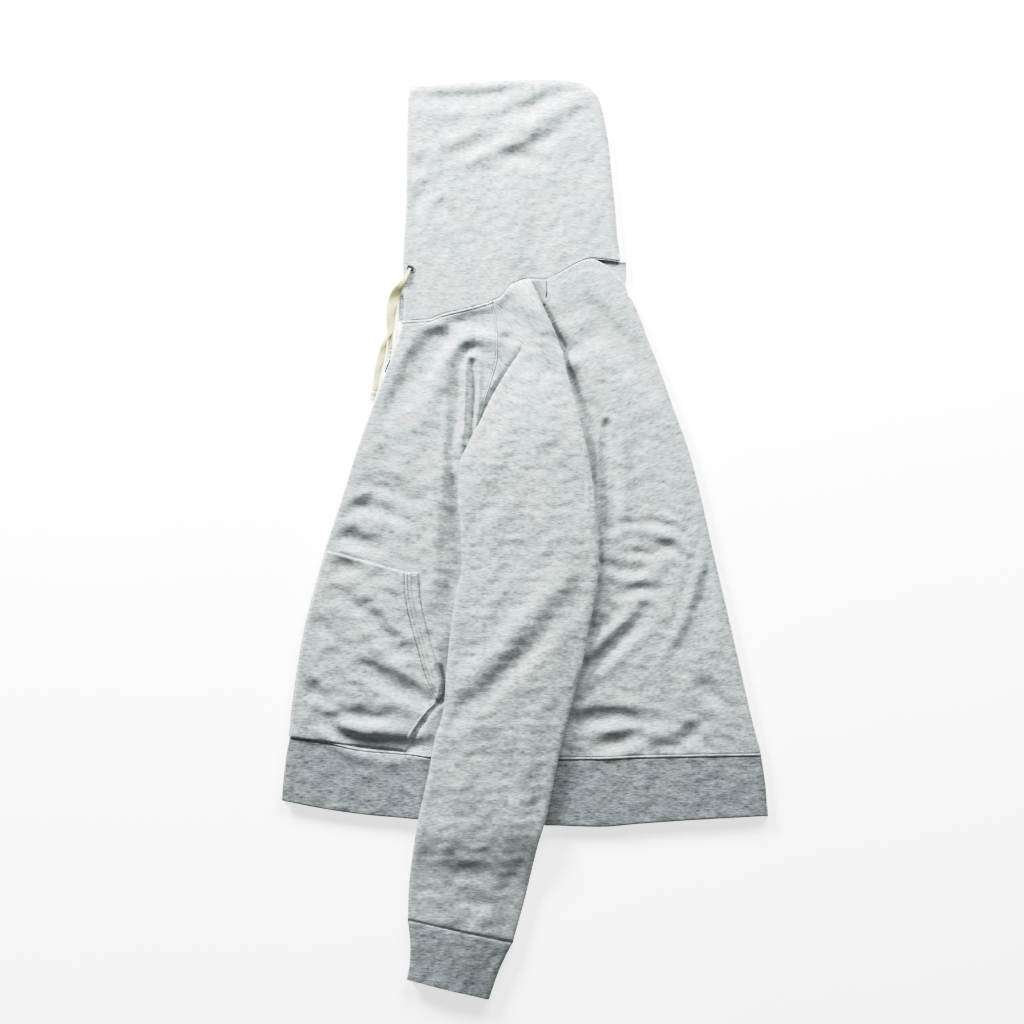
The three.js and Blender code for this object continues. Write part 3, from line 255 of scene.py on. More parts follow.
@dataclass(frozen=True)
class Line:
    """A smooth line through measured points, which never swings past them."""

    at: tuple[float, ...]
    value: tuple[float, ...]

    @classmethod
    def through(cls, rows: Sequence[Sequence[float]], start: int, end: int) -> "Line":
        """The line through two columns of a table.

        Args:
            rows: the table, in rising order of its start column.
            start: the column that the line is read by.
            end: the column that it gives.

        Returns:
            The line.
        """
        return cls(tuple(row[start] for row in rows), tuple(row[end] for row in rows))

    def __call__(self, where: Array | float) -> Array:
        """The line's value at each place.

        Args:
            where: places along the line, held to its two ends.

        Returns:
            The value at each.
        """
        x = np.asarray(self.at, float)
        y = np.asarray(self.value, float)
        q = np.clip(np.asarray(where, float), x[0], x[-1])
        step = np.diff(x)
        rise = np.diff(y) / step
        slope = np.empty_like(y)
        slope[0], slope[-1] = rise[0], rise[-1]
        together = rise[:-1] * rise[1:] > 0
        total = np.where(together, rise[:-1] + rise[1:], 1.0)
        slope[1:-1] = np.where(together, 2 * rise[:-1] * rise[1:] / total, 0.0)
        i = np.clip(np.searchsorted(x, q, side="right") - 1, 0, len(x) - 2)
        t = (q - x[i]) / step[i]
        return (
            (2 * t**3 - 3 * t**2 + 1) * y[i]
            + (t**3 - 2 * t**2 + t) * step[i] * slope[i]
            + (3 * t**2 - 2 * t**3) * y[i + 1]
            + (t**3 - t**2) * step[i] * slope[i + 1]
        )


@dataclass(frozen=True)
class Crease:
    """A trough or ridge in the cloth, with a slight shoulder on both sides."""

    half: float
    rise: float
    line: tuple[Point, ...]

    def nearest(self, x: Array, y: Array) -> tuple[Array, Array]:
        """Each point's nearest place on the crease's line.

        Args:
            x: places across.
            y: places along.

        Returns:
            The distance to the line, and the share of the line that lies before the place.
        """
        runs = [math.dist(a, b) for a, b in zip(self.line, self.line[1:])]
        nearest = np.full(np.shape(x), np.inf)
        share = np.zeros(np.shape(x))
        before = 0.0
        for (ax, ay), (bx, by), run in zip(self.line, self.line[1:], runs):
            t = np.clip(((x - ax) * (bx - ax) + (y - ay) * (by - ay)) / run**2, 0, 1)
            away = np.hypot(x - ax - t * (bx - ax), y - ay - t * (by - ay))
            share = np.where(away < nearest, (before + t * run) / sum(runs), share)
            nearest = np.minimum(nearest, away)
            before += run
        return nearest, share

    def height(self, x: Array, y: Array) -> Array:
        """How far the crease lifts or lowers the cloth, fading out at its two ends.

        Args:
            x: places across.
            y: places along.

        Returns:
            The rise at each place.
        """
        away, share = self.nearest(x, y)
        away = away / self.half
        arch = np.sin(math.pi * mix(0.08, 0.92, share)) ** 0.8
        trough = np.exp(-(away**2))
        shoulder = 0.25 * np.exp(-(((away - 1.9) / 0.8) ** 2))
        return self.rise * mix(0.12, 1, arch) * (trough - shoulder)


def creases(*rows: tuple[float | Point, ...]) -> tuple[Crease, ...]:
    """Creases from rows that hold the half width, the rise and then the line's points."""
    return tuple(Crease(half, rise, tuple(line)) for half, rise, *line in rows)


BODY_CREASES = creases(
    (7, -1.7, (-46, 216), (-58, 221), (-70, 214), (-78, 196)),
    (4, -4.6, (-60, 202), (-60, 176), (-61, 150), (-64, 114)),
    (6, -2.0, (-86, 196), (-80, 188), (-77, 168), (-79, 130), (-83, 96), (-85, 50)),
    (4, -3.0, (94, 132), (92, 104), (90, 67), (89, 30), (87, 6)),
    (12, 0.5, (110, 166), (112, 120), (112, 70), (108, 28)),
    (8, -1.0, (122, -17), (140, -18), (157, -13), (180, -4)),
    (6, 1.2, (92, -2), (110, 7), (130, 10), (152, 7), (172, 0), (186, -14)),
    (6, -0.9, (92, -30), (110, -34), (130, -36), (146, -33)),
    (6, -1.1, (112, -63), (134, -58), (154, -60)),
    (8, -1.5, (141, -85), (122, -103), (104, -122), (84, -140), (62, -157), (50, -170)),
    (7, 0.8, (126, -82), (106, -102), (84, -123), (62, -140)),
    (6, 0.7, (212, 6), (202, -34), (190, -72), (176, -108), (154, -142)),
    (7, -1.6, (77, 270), (104, 228), (118, 196)),
    (7, -1.5, (30, 232), (52, 216), (74, 212)),
    (10, 1.6, (-112, 250), (-92, 244), (-70, 238)),
    (9, -0.8, (-214, -60), (-196, -74), (-184, -90)),
    (3.5, -2.4, (-97, -148), (-90.5, -166), (-92, -180), (-97, -188)),
    (2.6, -0.9, (-99, -189), (-107.5, -198.5), (-118.5, -213), (-127.5, -228), (-133, -246)),
    (16, -3, (-43, 253), (-68, 249), (-96, 225), (-119, 198), (-137, 169), (-155, 151)),
    (11, 2.2, (-45, 226), (-72, 230), (-89, 211), (-97, 182)),
    (10, -2.4, (-84, 60), (-84, 10), (-86, -48), (-92, -94)),
    (8, -2.0, (-210, 28), (-192, 36), (-176, 37), (-158, 31), (-138, 22)),
    (8, -1.9, (-224, 6), (-206, 2), (-189, -4), (-168, -10)),
    (11, -1.1, (-184, 60), (-150, 52), (-124, 44)),
    (9, -1.2, (-224, -31), (-189, -37)),
    (8, -2, (-182, -78), (-172, -92), (-160, -110), (-148, -128), (-130, -131)),
    (9, -2.2, (-183, -146), (-160, -163), (-137, -175), (-109, -186)),
    (8, -1.5, (-206, -203), (-166, -206)),
    (8, -2.4, (-234, -202), (-224, -212), (-206, -227), (-189, -236), (-160, -240), (-104, -238)),
    (7, 1.6, (-212, -214), (-143, -220)),
    (8, -1.5, (-247, -88), (-229, -106)),
    (8, -1.5, (-258, -163), (-229, -186)),
    (18, -2.2, (66, 262), (98, 238), (126, 208), (146, 184)),
    (9, -1.6, (55, 224), (87, 234), (104, 228)),
    (9, -2.2, (60, 182), (70, 159), (82, 136), (93, 113), (98, 67), (97, 27), (92, 1)),
    (9, -0.9, (104, 10), (156, 10)),
    (8, -1.5, (80, -94), (74, -117)),
    (8, -1.9, (54, -212), (78, -206), (104, -204), (146, -210)),
    (8, -1.6, (87, -238), (133, -226)),
    (8, -1.5, (191, -221), (202, -238)),
    (8, 0.9, (136, -206), (152, -228), (172, -222)),
    (8, -0.8, (176, -238), (194, -222), (204, -210)),
    (16, -0.8, (222, -10), (214, -50), (204, -90), (188, -126)),
    (9, -1.8, (202, -163), (223, -190)),
)

SLEEVE_CREASES = creases(
    (9, -2.6, (-23, 276), (-19, 246), (-16, 220)),
    (8, 1.2, (-4, 292), (12, 262), (26, 232)),
    (9, -1.3, (2, 206), (16, 196), (30, 188)),
    (12, -1.6, (-30, 60), (-44, 36), (-58, 22)),
    (14, -1.6, (36, 92), (52, 60), (60, 20)),
    (16, -1.4, (-40, -238), (-22, -276), (-6, -300)),
    (18, -1.3, (-100, -300), (-70, -322), (-48, -350)),
    (11, -2.2, (-24, 276), (-8, 251), (-6, 234)),
    (13, 1.8, (-7, 300), (24, 240), (41, 205)),
    (30, -2, (-28, 33), (-8, -56)),
    (13, 2.6, (38, -48), (7, -88), (-28, -129), (-60, -160), (-82, -180)),
    (11, -2.0, (58, -66), (38, -88), (14, -116), (-14, -144), (-42, -171), (-66, -190), (-84, -212)),
    (9, -1.4, (-80, -379), (-45, -386)),
    (9, -1.4, (-68, -414), (-34, -419)),
)

HOOD_CREASES = creases(
    (8, -1.2, (0, 452), (19, 455), (36, 465)),
    (10, -1.0, (58, 436), (82, 417)),
    (8, -1.0, (-133, 384), (-116, 377)),
    (10, -2.4, (-120, 509), (-86, 506), (-51, 506), (-28, 511), (-2, 521)),
    (9, -2, (-28, 487), (7, 493), (24, 502), (60, 515)),
    (11, 2.2, (-68, 435), (-28, 451), (7, 470), (41, 495), (66, 508)),
    (10, 1.5, (-97, 447), (-51, 470)),
    (8, -1.8, (-86, 441), (-63, 447), (-40, 455), (-11, 464)),
    (8, -2.2, (-34, 443), (-11, 440), (18, 432)),
    (8, -1.5, (-131, 429), (-114, 429)),
    (8, -1.6, (-129, 386), (-103, 406)),
    (8, -1.2, (-103, 389), (-80, 366)),
    (17, 1.8, (-14, 400), (-14, 310)),
)

# How far the body's cloth sinks beside the sleeve: y, then depth and reach on each side
BESIDE_SLEEVE = (
    (-330, 1.2, 8, 1.2, 7), (-250, 2.4, 12, 2.8, 8), (-200, 4.6, 16, 4.4, 9),
    (-120, 6.4, 19, 4.2, 8), (-20, 7.2, 21, 4.0, 7), (10, 7.2, 21, 5.0, 6), (50, 7.0, 19, 6.6, 12),
    (88, 6.6, 16, 7.0, 18), (113, 6.2, 13, 7.2, 21), (150, 5.6, 11, 7.2, 18),
    (170, 5.0, 9, 7.2, 16), (190, 3.0, 8, 7.2, 14), (210, 1.8, 8, 7.2, 13), (224, 0.0, 10, 7.0, 13),
    (262, 0.0, 10, 6.2, 14), (284, 0.0, 10, 4.6, 14), (297, 0.0, 10, 1.4, 12),
)


def relief(creases: Iterable[Crease], x: Array, y: Array, deeper: float = BODY_DEEPER) -> Array:
    """The height that all the creases together give each point.

    Args:
        creases: the creases.
        x: places across.
        y: places along.
        deeper: how much deeper they are than in the table.

    Returns:
        The height, held to what the cloth below leaves free.
    """
    total = deeper * sum((one.height(x, y) for one in creases), np.zeros(np.shape(x)))
    limit = np.where(total < 0, DEEPEST_FOLD, HIGHEST_FOLD)
    return limit * np.tanh(total / limit)


def ripple(x: Array, y: Array, seed: float, size: float = 0.22) -> Array:
    """The slight unevenness of cloth that has been laid by hand.

    Args:
        x: places across.
        y: places along.
        seed: a number that makes one piece's ripples differ from another's.
        size: how high they are.

    Returns:
        The height to add at each place.
    """
    total = np.zeros(np.shape(x))
    for i, length in enumerate((67.0, 47.0, 33.0, 23.0, 15.0)):
        turn = seed + 2.4 * i
        along = (x * math.cos(turn) + y * math.sin(turn)) / length
        across = (y * math.cos(turn) - x * math.sin(turn)) / (length * 2.7)
        total += np.sin(2 * math.pi * along + 1.9 * np.sin(2 * math.pi * across + seed) + i)
    return size * total / 2


class Form:
    """The laid garment's outline and the height of its cloth at every point."""

    def __init__(self) -> None:
        """Reads the outline's lines from the measured tables."""
        self.zip_x = Line.through(BODY_EDGES, 0, 1)
        self.fold_x = Line.through(BODY_EDGES, 0, 2)
        self.hem_seam = Line.through(HEM, 0, 1)
        self.hem_low = Line.through(HEM, 0, 2)
        self.neck = Line.through(NECK, 0, 1)
        self.back_top = Line.through(BACK_TOP, 0, 1)
        self.face_x = Line.through(HOOD_SIDES, 0, 1)
        self.hood_back_x = Line.through(HOOD_SIDES, 0, 2)
        self.crown = Line.through(HOOD_CROWN, 0, 1)
        self.front_side = Line.through(FRONT_SIDE, 0, 1)
        self.back_side = Line.through(BACK_SIDE, 0, 1)
        spans = sorted(((ly + ry) / 2, lx, rx) for lx, ly, rx, ry in SLEEVE)
        self.sleeve_left = Line.through(spans, 0, 1)
        self.sleeve_right = Line.through(spans, 0, 2)
        left = sorted((row[1], row[0]) for row in SLEEVE)
        right = sorted((row[3], row[2]) for row in SLEEVE)
        self.left_fold = Line.through(left, 0, 1)
        self.right_fold = Line.through(right, 0, 1)
        self.beside = tuple(Line.through(BESIDE_SLEEVE, 0, column) for column in (1, 2, 3, 4))

    def over_sleeve(self, x: Array, y: Array) -> Array:
        """How far the other sleeve, below, lifts the body."""
        inside = np.minimum(x - self.sleeve_left(y), self.sleeve_right(y) - x)
        below_cap = 1 - smooth(*HIDDEN_SLEEVE_END, y)
        return HIDDEN_SLEEVE_RISE * smooth(*HIDDEN_SLEEVE_SLOPE, inside) * below_cap

    def body(self, x: Array, y: Array) -> Array:
        """Height of the body's upper cloth.

        Args:
            x: places across.
            y: places along.

        Returns:
            The height at each place.
        """
        from_zip = x - self.zip_x(y)
        from_fold = self.fold_x(y) - x
        level = (
            BODY_LOFT
            + (ZIP_EDGE_LOFT - BODY_LOFT) * (1 - smooth(*ZIP_EDGE_FALL, from_zip))
            - (BODY_LOFT - BACK_FOLD_LOFT) * (1 - smooth(*BACK_FOLD_FALL, from_fold))
        )
        calm = smooth(*CALM_BY_FOLD, from_fold) * smooth(*CALM_BY_ZIP, from_zip)
        calm = calm * smooth(*CALM_BY_NECK, self.neck(x) - y)
        uneven = relief(BODY_CREASES, x, y) + ripple(x, y, *BODY_RIPPLE)
        return level + self.over_sleeve(x, y) + calm * uneven

    def bed(self, x: Array, y: Array) -> Array:
        """Height of the body's upper cloth where it sinks beside the sleeve's folded edges.

        Args:
            x: places across.
            y: places along.

        Returns:
            The height at each place.
        """
        left_depth, left_reach, right_depth, right_reach = (line(y) for line in self.beside)
        left = left_depth * (1 - smooth(-0.2, 1, (self.left_fold(y) - x) / left_reach))
        right = right_depth * (1 - smooth(0.05, 1, (x - self.right_fold(y)) / right_reach))
        middle = (self.left_fold(y) + self.right_fold(y)) / 2
        return np.maximum(self.body(x, y) - np.where(x < middle, left, right), LOWEST_CLOTH)

    def hood(self, x: Array, y: Array) -> Array:
        """Height of the hood's upper cloth.

        Args:
            x: places across.
            y: places along.

        Returns:
            The height at each place.
        """
        from_face = x - self.face_x(y)
        from_crown = self.crown(x) - y
        from_back = np.where(y < HOOD_CORNER_Y, from_crown, self.hood_back_x(y) - x)
        from_seam = np.minimum(from_back, from_crown)
        level = HOOD_LOFT - (HOOD_LOFT - HOOD_FACE_LOFT) * (1 - smooth(*HOOD_FACE_FALL, from_face))
        turned = (1 - round_off(from_seam, HOOD_ROLL)) * smooth(*HOOD_ROLL_START, y)
        calm = smooth(*CALM_BY_SEAM, from_seam) * smooth(*CALM_BY_FACE, from_face) * smooth(*HOOD_WAKES, y)
        uneven = relief(HOOD_CREASES, x, y, HOOD_DEEPER) + ripple(x, y, *HOOD_RIPPLE)
        return level - (level - HOOD_SEAM_HEIGHT) * turned + calm * uneven

    def sleeve_uneven(self, x: Array, y: Array) -> Array:
        """The sleeve's creases and ripples, before they fade towards the neck."""
        return relief(SLEEVE_CREASES, x, y, SLEEVE_DEEPER) + ripple(x, y, *SLEEVE_RIPPLE)

    def sleeve_rest(self, x: Array, y: Array) -> Array:
        """Height that the laid sleeve rests at: on the body, then down past the hem.

        Args:
            x: places across.
            y: places along.

        Returns:
            The height at each place.
        """
        low = self.hem_low(x)
        held = np.maximum(y, low + HEM_MARGIN)
        around = [self.body(x + dx, held + dy) for dx in FELT_AROUND for dy in FELT_AROUND]
        on_body = np.max(around, axis=0) + REST_GAP
        return mix(on_body, HIDDEN_SLEEVE_TOP + REST_GAP, smooth(*SLEEVE_DROP, low - y))


FORM = Form()


class Slot(Enum):
    """The record's slots that the finishes stand for."""

    FLEECE = "heather_fleece"
    RIB = "rib_knit"
    CORD = "drawcord_cotton"
    EYELET = "eyelet_thread"
    TAPE = "zip_tape"
    METAL = "zip_metal"


class Side(Enum):
    """A side of a sheet of cloth."""

    LEFT = "left"
    RIGHT = "right"
    LOW = "low"
    HIGH = "high"


def seen_from(array: Array, side: Side) -> Array:
    """The grid turned so that the given side is its first column.

    Args:
        array: the grid.
        side: the side.

    Returns:
        The turned grid.
    """
    turned = {
        Side.LEFT: lambda: array,
        Side.RIGHT: lambda: array[:, ::-1],
        Side.LOW: lambda: array.swapaxes(0, 1),
        Side.HIGH: lambda: array[::-1].swapaxes(0, 1),
    }
    return turned[side]()


def put_back(array: Array, side: Side) -> Array:
    """A grid from seen_from, turned the way it was."""
    if side is Side.HIGH:
        return array.swapaxes(0, 1)[::-1]
    return seen_from(array, side)


@dataclass
class Cloth:
    """A sheet of cloth as rows of points, with each point's place on the flat cut."""

    points: Array
    cut: Array

    @classmethod
    def over(cls, x: Array, y: Array, z: Array, cut: Array | None = None) -> "Cloth":
        """A sheet from its places and heights.

        Args:
            x: places across.
            y: places along.
            z: heights.
            cut: places on the flat cut, where these aren't x and y themselves.

        Returns:
            The sheet.
        """
        return cls(np.stack([x, y, z], axis=2), pairs(x, y) if cut is None else cut)

    def turned(self, side: Side, radius: Array | float, back: float, steps: int = 8) -> "Cloth":
        """The same sheet with one side rolled down and under itself.

        Args:
            side: the side that turns.
            radius: radius of the turn, for the whole side or for each of its points.
            back: how far the cloth runs back under itself.
            steps: number of steps round the turn.

        Returns:
            The longer sheet.
        """
        points = seen_from(self.points, side)
        cut = seen_from(self.cut, side)
        edge, inner = points[:, 0], points[:, 1]
        out = edge[:, :2] - inner[:, :2]
        out = out / np.linalg.norm(out, axis=1, keepdims=True)
        cut_out = cut[:, 0] - cut[:, 1]
        cut_out = cut_out / np.linalg.norm(cut_out, axis=1, keepdims=True)
        r = np.broadcast_to(np.asarray(radius, float), edge.shape[:1])[:, None]
        new_points, new_cut = [], []
        for share in (1.0, 0.5):
            flat = edge[:, :2] - out * back * share
            new_points.append(np.concatenate([flat, edge[:, 2:] - 2 * r], axis=1))
            new_cut.append(cut[:, 0] + cut_out * (math.pi * r + back * share))
        for angle in np.linspace(math.pi, 0, steps, endpoint=False):
            flat = edge[:, :2] + out * r * math.sin(angle)
            height = edge[:, 2:] - r * (1 - math.cos(angle))
            new_points.append(np.concatenate([flat, height], axis=1))
            new_cut.append(cut[:, 0] + cut_out * r * angle)
        grown = np.concatenate([np.stack(new_points, axis=1), points], axis=1)
        grown_cut = np.concatenate([np.stack(new_cut, axis=1), cut], axis=1)
        return Cloth(put_back(grown, side), put_back(grown_cut, side))

    def flipped(self) -> "Cloth":
        """The same sheet with its right side facing the other way."""
        return Cloth(self.points[:, ::-1], self.cut[:, ::-1])

    def upside(self) -> "Cloth":
        """The same sheet with its rows in the other order."""
        return Cloth(self.points[::-1], self.cut[::-1])

    def area(self) -> float:
        """The sheet's area in square metres."""
        a = self.points[:-1, :-1]
        across = self.points[1:, 1:] - a
        over = self.points[1:, :-1] - self.points[:-1, 1:]
        return float(np.linalg.norm(np.cross(across, over), axis=2).sum() / 2) * MM * MM

    def size(self) -> tuple[float, float]:
        """The cut's greatest width and length, in metres."""
        across = np.linalg.norm(np.diff(self.points, axis=1), axis=2).sum(axis=1).max()
        along = np.linalg.norm(np.diff(self.points, axis=0), axis=2).sum(axis=0).max()
        return float(across) * MM, float(along) * MM


def spread(width: Array, near: Sequence[float], far: Sequence[float], pitch: float) -> Array:
    """Shares across each row: fixed steps in from both ends, and even ones between.

    Args:
        width: each row's width.
        near: steps in from the start.
        far: steps in from the end.
        pitch: greatest distance between the steps between.

    Returns:
        One row of shares for each width.
    """
    width = np.atleast_1d(np.asarray(width, float))[:, None]
    count = max(2, math.ceil(float(width.max() - near[-1] - far[-1]) / pitch))
    squeeze = np.minimum(1, width / (near[-1] + far[-1] + 1))
    start = np.asarray(near)[None, :] * squeeze / width
    end = 1 - np.asarray(far)[None, ::-1] * squeeze / width
    between = np.linspace(0, 1, count + 1)[None, 1:-1]
    return np.concatenate([start, mix(start[:, -1:], end[:, :1], between), end], axis=1)


def lay(
    left: Array,
    right: Array,
    near: Sequence[float] = SEAM_STEPS,
    far: Sequence[float] = SEAM_STEPS,
    pitch: float = CELL,
) -> Array:
    """Rows of flat points between two edges.

    Args:
        left: the left edge, a point for each row.
        right: the right edge.
        near: steps in from the left edge.
        far: steps in from the right edge.
        pitch: greatest step between.

    Returns:
        The points, as rows by columns by (x, y).
    """
    width = np.linalg.norm(right - left, axis=1)
    share = spread(width, near, far, pitch)[:, :, None]
    return mix(left[:, None, :], right[:, None, :], share)


def off_chord(curve: Callable[[Array], Array], start: Point, end: Point) -> Callable[[Array], Array]:
    """How far a curve lies from the straight line between two points.

    Args:
        curve: gives y at each x.
        start: the line's first point.
        end: its last point.

    Returns:
        A function of x.
    """

    def gap(x: Array) -> Array:
        """The curve's height over the line at each x."""
        share = np.clip((x - start[0]) / (end[0] - start[0]), 0, 1)
        return curve(mix(start[0], end[0], share)) - mix(start[1], end[1], share)

    return gap


def from_sides(flat: Array) -> dict[Side, Array]:
    """How far each point of a grid lies from each of its four sides, along the cloth.

    Args:
        flat: the grid's flat points.

    Returns:
        The distances from each side.
    """
    step_x = np.linalg.norm(np.diff(flat, axis=1), axis=2)
    step_y = np.linalg.norm(np.diff(flat, axis=0), axis=2)
    left = np.concatenate([np.zeros((flat.shape[0], 1)), np.cumsum(step_x, axis=1)], axis=1)
    low = np.concatenate([np.zeros((1, flat.shape[1])), np.cumsum(step_y, axis=0)], axis=0)
    return {Side.LEFT: left, Side.RIGHT: left[:, -1:] - left, Side.LOW: low, Side.HIGH: low[-1:] - low}


def between_rows(rows: Sequence[Sequence[float]], pitch: float) -> tuple[Array, Array]:
    """A section table with even rows laid in between its own.

    Args:
        rows: the table.
        pitch: greatest distance between two rows along their left ends.

    Returns:
        The refined rows, and where each lies on the table, counted in its rows.
    """
    table = np.asarray(rows, float)
    marks = [0.0]
    for i in range(len(table) - 1):
        gap = float(np.hypot(*(table[i + 1][:2] - table[i][:2])))
        parts = max(1, math.ceil(gap / pitch))
        marks.extend(i + k / parts for k in range(1, parts + 1))
    at = np.asarray(marks)
    index = tuple(float(i) for i in range(len(table)))
    columns = [Line(index, tuple(table[:, c]))(at) for c in range(table.shape[1])]
    return np.stack(columns, axis=1), at


# Finishes


class Nodes:
    """Makes and joins the nodes of one material."""

    def __init__(self, name: str) -> None:
        """Starts an empty material.

        Args:
            name: the material's name.
        """
        self.material = bpy.data.materials.new(name)
        self.material.use_nodes = True
        self.tree = self.material.node_tree
        self.tree.nodes.clear()
        self.output = self.tree.nodes.new("ShaderNodeOutputMaterial")
        self.shader = self.tree.nodes.new("ShaderNodeBsdfPrincipled")
        self.join(self.shader.outputs[0], self.output.inputs["Surface"])

    def join(self, start: Socket, end: Socket) -> None:
        """Links two sockets."""
        self.tree.links.new(start, end)

    def cut_map(self, width: float, length: float) -> Socket:
        """The cloth's own coordinates, in repeats of the given size in millimetres.

        Args:
            width: size across the cloth.
            length: size along it.

        Returns:
            The socket that gives the coordinates.
        """
        uv = self.tree.nodes.new("ShaderNodeUVMap")
        uv.uv_map = "cut"
        mapping = self.tree.nodes.new("ShaderNodeMapping")
        mapping.inputs["Scale"].default_value = (1 / (width * MM), 1 / (length * MM), 1)
        self.join(uv.outputs[0], mapping.inputs["Vector"])
        return mapping.outputs[0]

    def place_map(self, size: float) -> Socket:
        """The object's own coordinates, in repeats of a size.

        Args:
            size: the size in millimetres.

        Returns:
            The socket that gives the coordinates.
        """
        coordinates = self.tree.nodes.new("ShaderNodeTexCoord")
        mapping = self.tree.nodes.new("ShaderNodeMapping")
        mapping.inputs["Scale"].default_value = (1 / (size * MM),) * 3
        self.join(coordinates.outputs["Object"], mapping.inputs["Vector"])
        return mapping.outputs[0]

    def noise(self, vector: Socket, detail: float = 2, rough: float = 0.5) -> Socket:
        """Soft noise.

        Args:
            vector: the coordinates.
            detail: number of finer layers.
            rough: how much each finer layer adds.

        Returns:
            The noise, about 0.3 to 0.7.
        """
        node = self.tree.nodes.new("ShaderNodeTexNoise")
        node.inputs["Scale"].default_value = 1
        node.inputs["Detail"].default_value = detail
        node.inputs["Roughness"].default_value = rough
        self.join(vector, node.inputs["Vector"])
        return node.outputs["Fac"]

    def wave(self, vector: Socket, direction: str, bend: float = 0) -> Socket:
        """Even bands, one to each repeat of the coordinates.

        Args:
            vector: the coordinates.
            direction: X, Y or DIAGONAL.
            bend: how far noise bends the bands.

        Returns:
            The bands, 0 to 1.
        """
        node = self.tree.nodes.new("ShaderNodeTexWave")
        node.wave_type = "BANDS"
        node.bands_direction = direction
        node.wave_profile = "SIN"
        node.inputs["Scale"].default_value = math.pi / 10
        node.inputs["Distortion"].default_value = bend
        self.join(vector, node.inputs["Vector"])
        return node.outputs["Fac"]

    def ramp(self, value: Socket, stops: Sequence[tuple[float, Place]]) -> Socket:
        """Colours along a value.

        Args:
            value: what picks the colour.
            stops: each stop's place and colour.

        Returns:
            The colour.
        """
        node = self.tree.nodes.new("ShaderNodeValToRGB")
        ramp = node.color_ramp
        while len(ramp.elements) < len(stops):
            ramp.elements.new(0.5)
        for element, (position, colour) in zip(ramp.elements, stops):
            element.position = position
            element.color = (*colour, 1)
        self.join(value, node.inputs["Fac"])
        return node.outputs["Color"]

    def blend(self, share: Socket | float, first: Socket, second: Socket, kind: str = "MIX") -> Socket:
        """Mixes two colours.

        Args:
            share: how much of the second.
            first: the first colour.
            second: the second colour.
            kind: how they are mixed.

        Returns:
            The mixed colour.
        """
        node = self.tree.nodes.new("ShaderNodeMix")
        node.data_type = "RGBA"
        node.blend_type = kind
        if isinstance(share, float):
            node.inputs[0].default_value = share
        else:
            self.join(share, node.inputs[0])
        self.join(first, node.inputs[6])
        self.join(second, node.inputs[7])
        return node.outputs[2]

    def maths(self, kind: str, first: Socket, second: Socket | float) -> Socket:
        """One step of arithmetic.

        Args:
            kind: the operation's name.
            first: the first value.
            second: the second value.

        Returns:
            The result.
        """
        node = self.tree.nodes.new("ShaderNodeMath")
        node.operation = kind
        self.join(first, node.inputs[0])
        if isinstance(second, (int, float)):
            node.inputs[1].default_value = second
        else:
            self.join(second, node.inputs[1])
        return node.outputs[0]

    def add(self, first: Socket, much: float, second: Socket, more: float) -> Socket:
        """The sum of two values.

        Args:
            first: the first value.
            much: its share.
            second: the second value.
            more: its share.

        Returns:
            The sum.
        """
        return self.maths("ADD", self.maths("MULTIPLY", first, much), self.maths("MULTIPLY", second, more))

    def rough(self, value: Socket, low: float, high: float) -> None:
        """Sets a roughness that varies with a value.

        Args:
            value: the value, about 0.3 to 0.7.
            low: the roughness at its low end.
            high: the roughness at its high end.
        """
        self.join(self.ramp(value, ((0.3, (low,) * 3), (0.7, (high,) * 3))), self.shader.inputs["Roughness"])

    def bump(self, height: Socket, strength: float, distance: float) -> None:
        """Raises the surface by a value.

        Args:
            height: the value.
            strength: share of the effect.
            distance: height of the value 1, in millimetres.
        """
        node = self.tree.nodes.new("ShaderNodeBump")
        node.inputs["Strength"].default_value = strength
        node.inputs["Distance"].default_value = distance * MM
        self.join(height, node.inputs["Height"])
        self.join(node.outputs[0], self.shader.inputs["Normal"])


